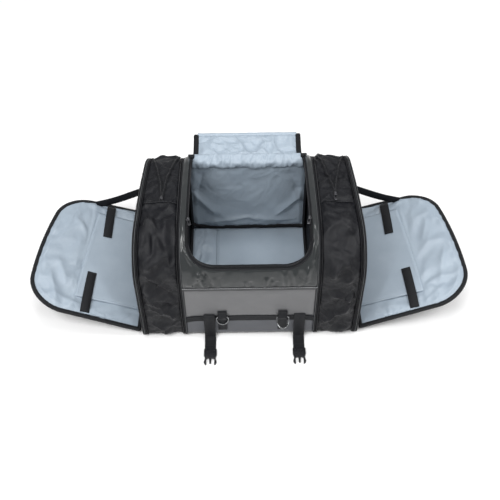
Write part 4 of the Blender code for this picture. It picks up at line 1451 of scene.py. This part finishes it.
def make_ring_loop(name, x, top, s_of, node):
    """Webbing down the panel and round a D-ring's bar, with its tail below."""
    offsets = (0.01, 0.005, 0.0015, -0.0025, -0.007, -0.013, -0.025, -0.05)
    heights = [top, top - 0.004] + [RING_AXIS_Z + offset for offset in offsets]
    outs = [0.004, 0.0042, 0.0046, 0.0072, 0.0092, 0.009, 0.006, 0.0037, 0.0036, 0.0032]
    z = np.linspace(heights[0], heights[-1], 40)
    out = smoothed(np.interp(-z, [-h for h in heights], outs), 2)
    s = np.array([s_of(h) for h in z])
    sweep(name, skin(x, s, out), surface_up(0 * s, s), strip(0.02, 0.0014), "webbing", node=node)
    row = np.linspace(x - 0.0085, x + 0.0085, 12)
    for number, height in ((1, top - 0.003), (2, RING_AXIS_Z + 0.012)):
        s = s_of(height)
        stitches(f"{name}_thread_{number}", skin(row, s, 0.0054), surface_up(row, s), 0.0022)


def make_ring_wire(name, x, angle, body):
    """A welded wire D-ring on its bar, turned from hanging by an angle."""
    centre = (x, JOINTS[f"{body}_swing"]["pos_m"][1], RING_AXIS_Z)
    half, wire = 0.013, 0.0017
    points = [(-half + 0.002, 0.0, 0.0), (0.0, 0.0, 0.0), (half - 0.002, 0.0, 0.0)]
    for k in range(25):
        a = math.pi * k / 24
        points.append((half * math.cos(a), 0.0, -0.0035 - (RING_REACH - 0.0035) * abs(math.sin(a)) ** 0.85))
    path = turned(resampled(points, 0.0012, closed=True), angle, ACROSS, np.zeros(3)) + centre
    normal = turned((0.0, 1.0, 0.0), angle, ACROSS, np.zeros(3))
    sweep(name, path, normal, oval(2 * wire, 2 * wire, 10), "steel", closed=True, body=body,
          node=name.removesuffix("_wire"))


def make_rings():
    for place, rings, top, s_of in (
        ("front", FRONT_RINGS, 0.096, up_front), ("rear", REAR_RINGS, 0.099, down_rear),
    ):
        for label, x in rings.items():
            name = f"{place}_{label}"
            make_ring_loop(f"{name}_loop_webbing", x, top, s_of, f"{name}_ring_loop")
            angle = -math.radians(75) if name == "front_right" else 0.0
            make_ring_wire(f"{name}_d_ring_wire", x, angle, f"{name}_ring")


def make_straps():
    """Tie straps down the front and along the floor, each with the prong half of a buckle on its end."""
    y = float(at(up_front(STRAP_TOP_Z))[0])
    for label, x in STRAP_X.items():
        route = [
            (y - 0.0034, STRAP_TOP_Z), (y - 0.0052, 0.074), (y - 0.0056, 0.054), (y - 0.0064, 0.024),
            (y - 0.0085, 0.007), (y - 0.015, 0.0026), (y - 0.026, 0.0016), (STRAP_END_Y - 0.001, 0.0016),
        ]
        path = smoothed(resampled([(x, a, b) for a, b in route], 0.0018), 4)
        path[:, 2] = np.maximum(path[:, 2], 0.0012)
        steps = np.gradient(path, axis=0)
        ups = points_at(0.0, steps[:, 2], -steps[:, 1])
        body = f"{label}_strap"
        sweep(f"{label}_strap_webbing", path, ups, strip(0.0248, 0.0017), "webbing", body=body,
              node=f"{label}_tie_strap")
        for number, offset in ((1, 0.0035), (2, 0.015)):
            row = points_at(np.linspace(x - 0.0105, x + 0.0105, 14), STRAP_END_Y + offset, 0.003)
            stitches(f"{label}_strap_thread_{number}", row, (0, 0, 1), wide=0.0008, body=body)
        make_plug(label, x)


def solid_plate(name, outline, low, high, paint, bevel, **how):
    """A flat moulded part with rounded edges."""
    count = len(outline)
    points = [(x, y, z) for z in (low, high) for x, y in outline]
    faces = [tuple(range(count))[::-1], tuple(range(count, 2 * count))]
    faces += [(k, (k + 1) % count, count + (k + 1) % count, count + k) for k in range(count)]
    lengths = [(p[0], p[1]) for p in points]
    obj = piece(name, points, faces, lengths, paint, **how)
    edge = obj.modifiers.new("edges", "BEVEL")
    edge.width = bevel
    edge.segments = 3
    edge.limit_method = "ANGLE"
    edge.harden_normals = True
    return obj


def make_plug(label, x):
    """The prong half of a side-release buckle: a ladder for the strap, two hooked prongs and a guide."""
    y = STRAP_END_Y - 0.0015
    body = f"{label}_buckle"
    half = [
        (0.014, 0.006), (0.0142, -0.01), (0.0128, -0.014), (0.0118, -0.0165), (0.0126, -0.0215),
        (0.0142, -0.0265), (0.0136, -0.03), (0.011, -0.034), (0.0092, -0.0345), (0.0084, -0.032),
        (0.009, -0.024), (0.0082, -0.019), (0.0034, -0.017), (0.0026, -0.02), (0.0018, -0.031),
    ]
    outline = [(x + a, y + b) for a, b in half] + [(x - a, y + b) for a, b in reversed(half)]
    solid_plate(f"{label}_plug_body", outline, 0.0006, 0.0052, "plastic", 0.0009, body=body,
                node=f"{label}_buckle_plug")
    for part, reach, rear, front, high, bevel in (
        ("bar", 0.0118, 0.004, 0.0005, 0.0066, 0.0006), ("ridge", 0.01, -0.006, -0.0085, 0.0062, 0.0005),
    ):
        left, right = x - reach, x + reach
        outline = [(left, y + rear), (right, y + rear), (right, y + front), (left, y + front)]
        solid_plate(f"{label}_plug_{part}", outline, 0.005, high, "plastic", bevel, body=body)


def make_lid_sliders():
    s = along_top(-0.075)
    for label, side in SIDES.items():
        x = side * (OPENING_HALF - TAPE + 0.0014)
        slider(f"{label}_lid_slider", skin(x, s, 0.0012), (0, -1.0, 0.1), surface_up(x, s),
               f"{label}_lid_pull", side * 0.2)


def dress_frame_nodes():
    """CAD nodes that stay, such as the boards, get the finish of their own kind."""
    for name, node in frame["nodes"].items():
        if node.hide_render:
            continue
        paint = "plastic" if "board" in name else "nylon"
        node.data.materials.clear()
        node.data.materials.append(MATERIALS[paint])


MATERIALS = make_materials()
make_camera()
make_studio()
make_walls()
make_welt()
make_yoke()
make_opening_trim()
make_rear_lining()
make_inside()
for side_label, side_sign in SIDES.items():
    make_seam_ring(side_label, side_sign)
    make_frame(side_label, side_sign)
    gusset = make_gusset(side_label, side_sign)
    make_expansion_zip(side_label, side_sign, gusset)
    make_door(side_label, side_sign)
    make_door_fabric(side_label, side_sign)
make_lid_strip()
make_lid_flap()
make_fold_cloth()
make_hinge_cloth()
make_lid_sliders()
make_webbing()
make_rings()
make_straps()
dress_frame_nodes()
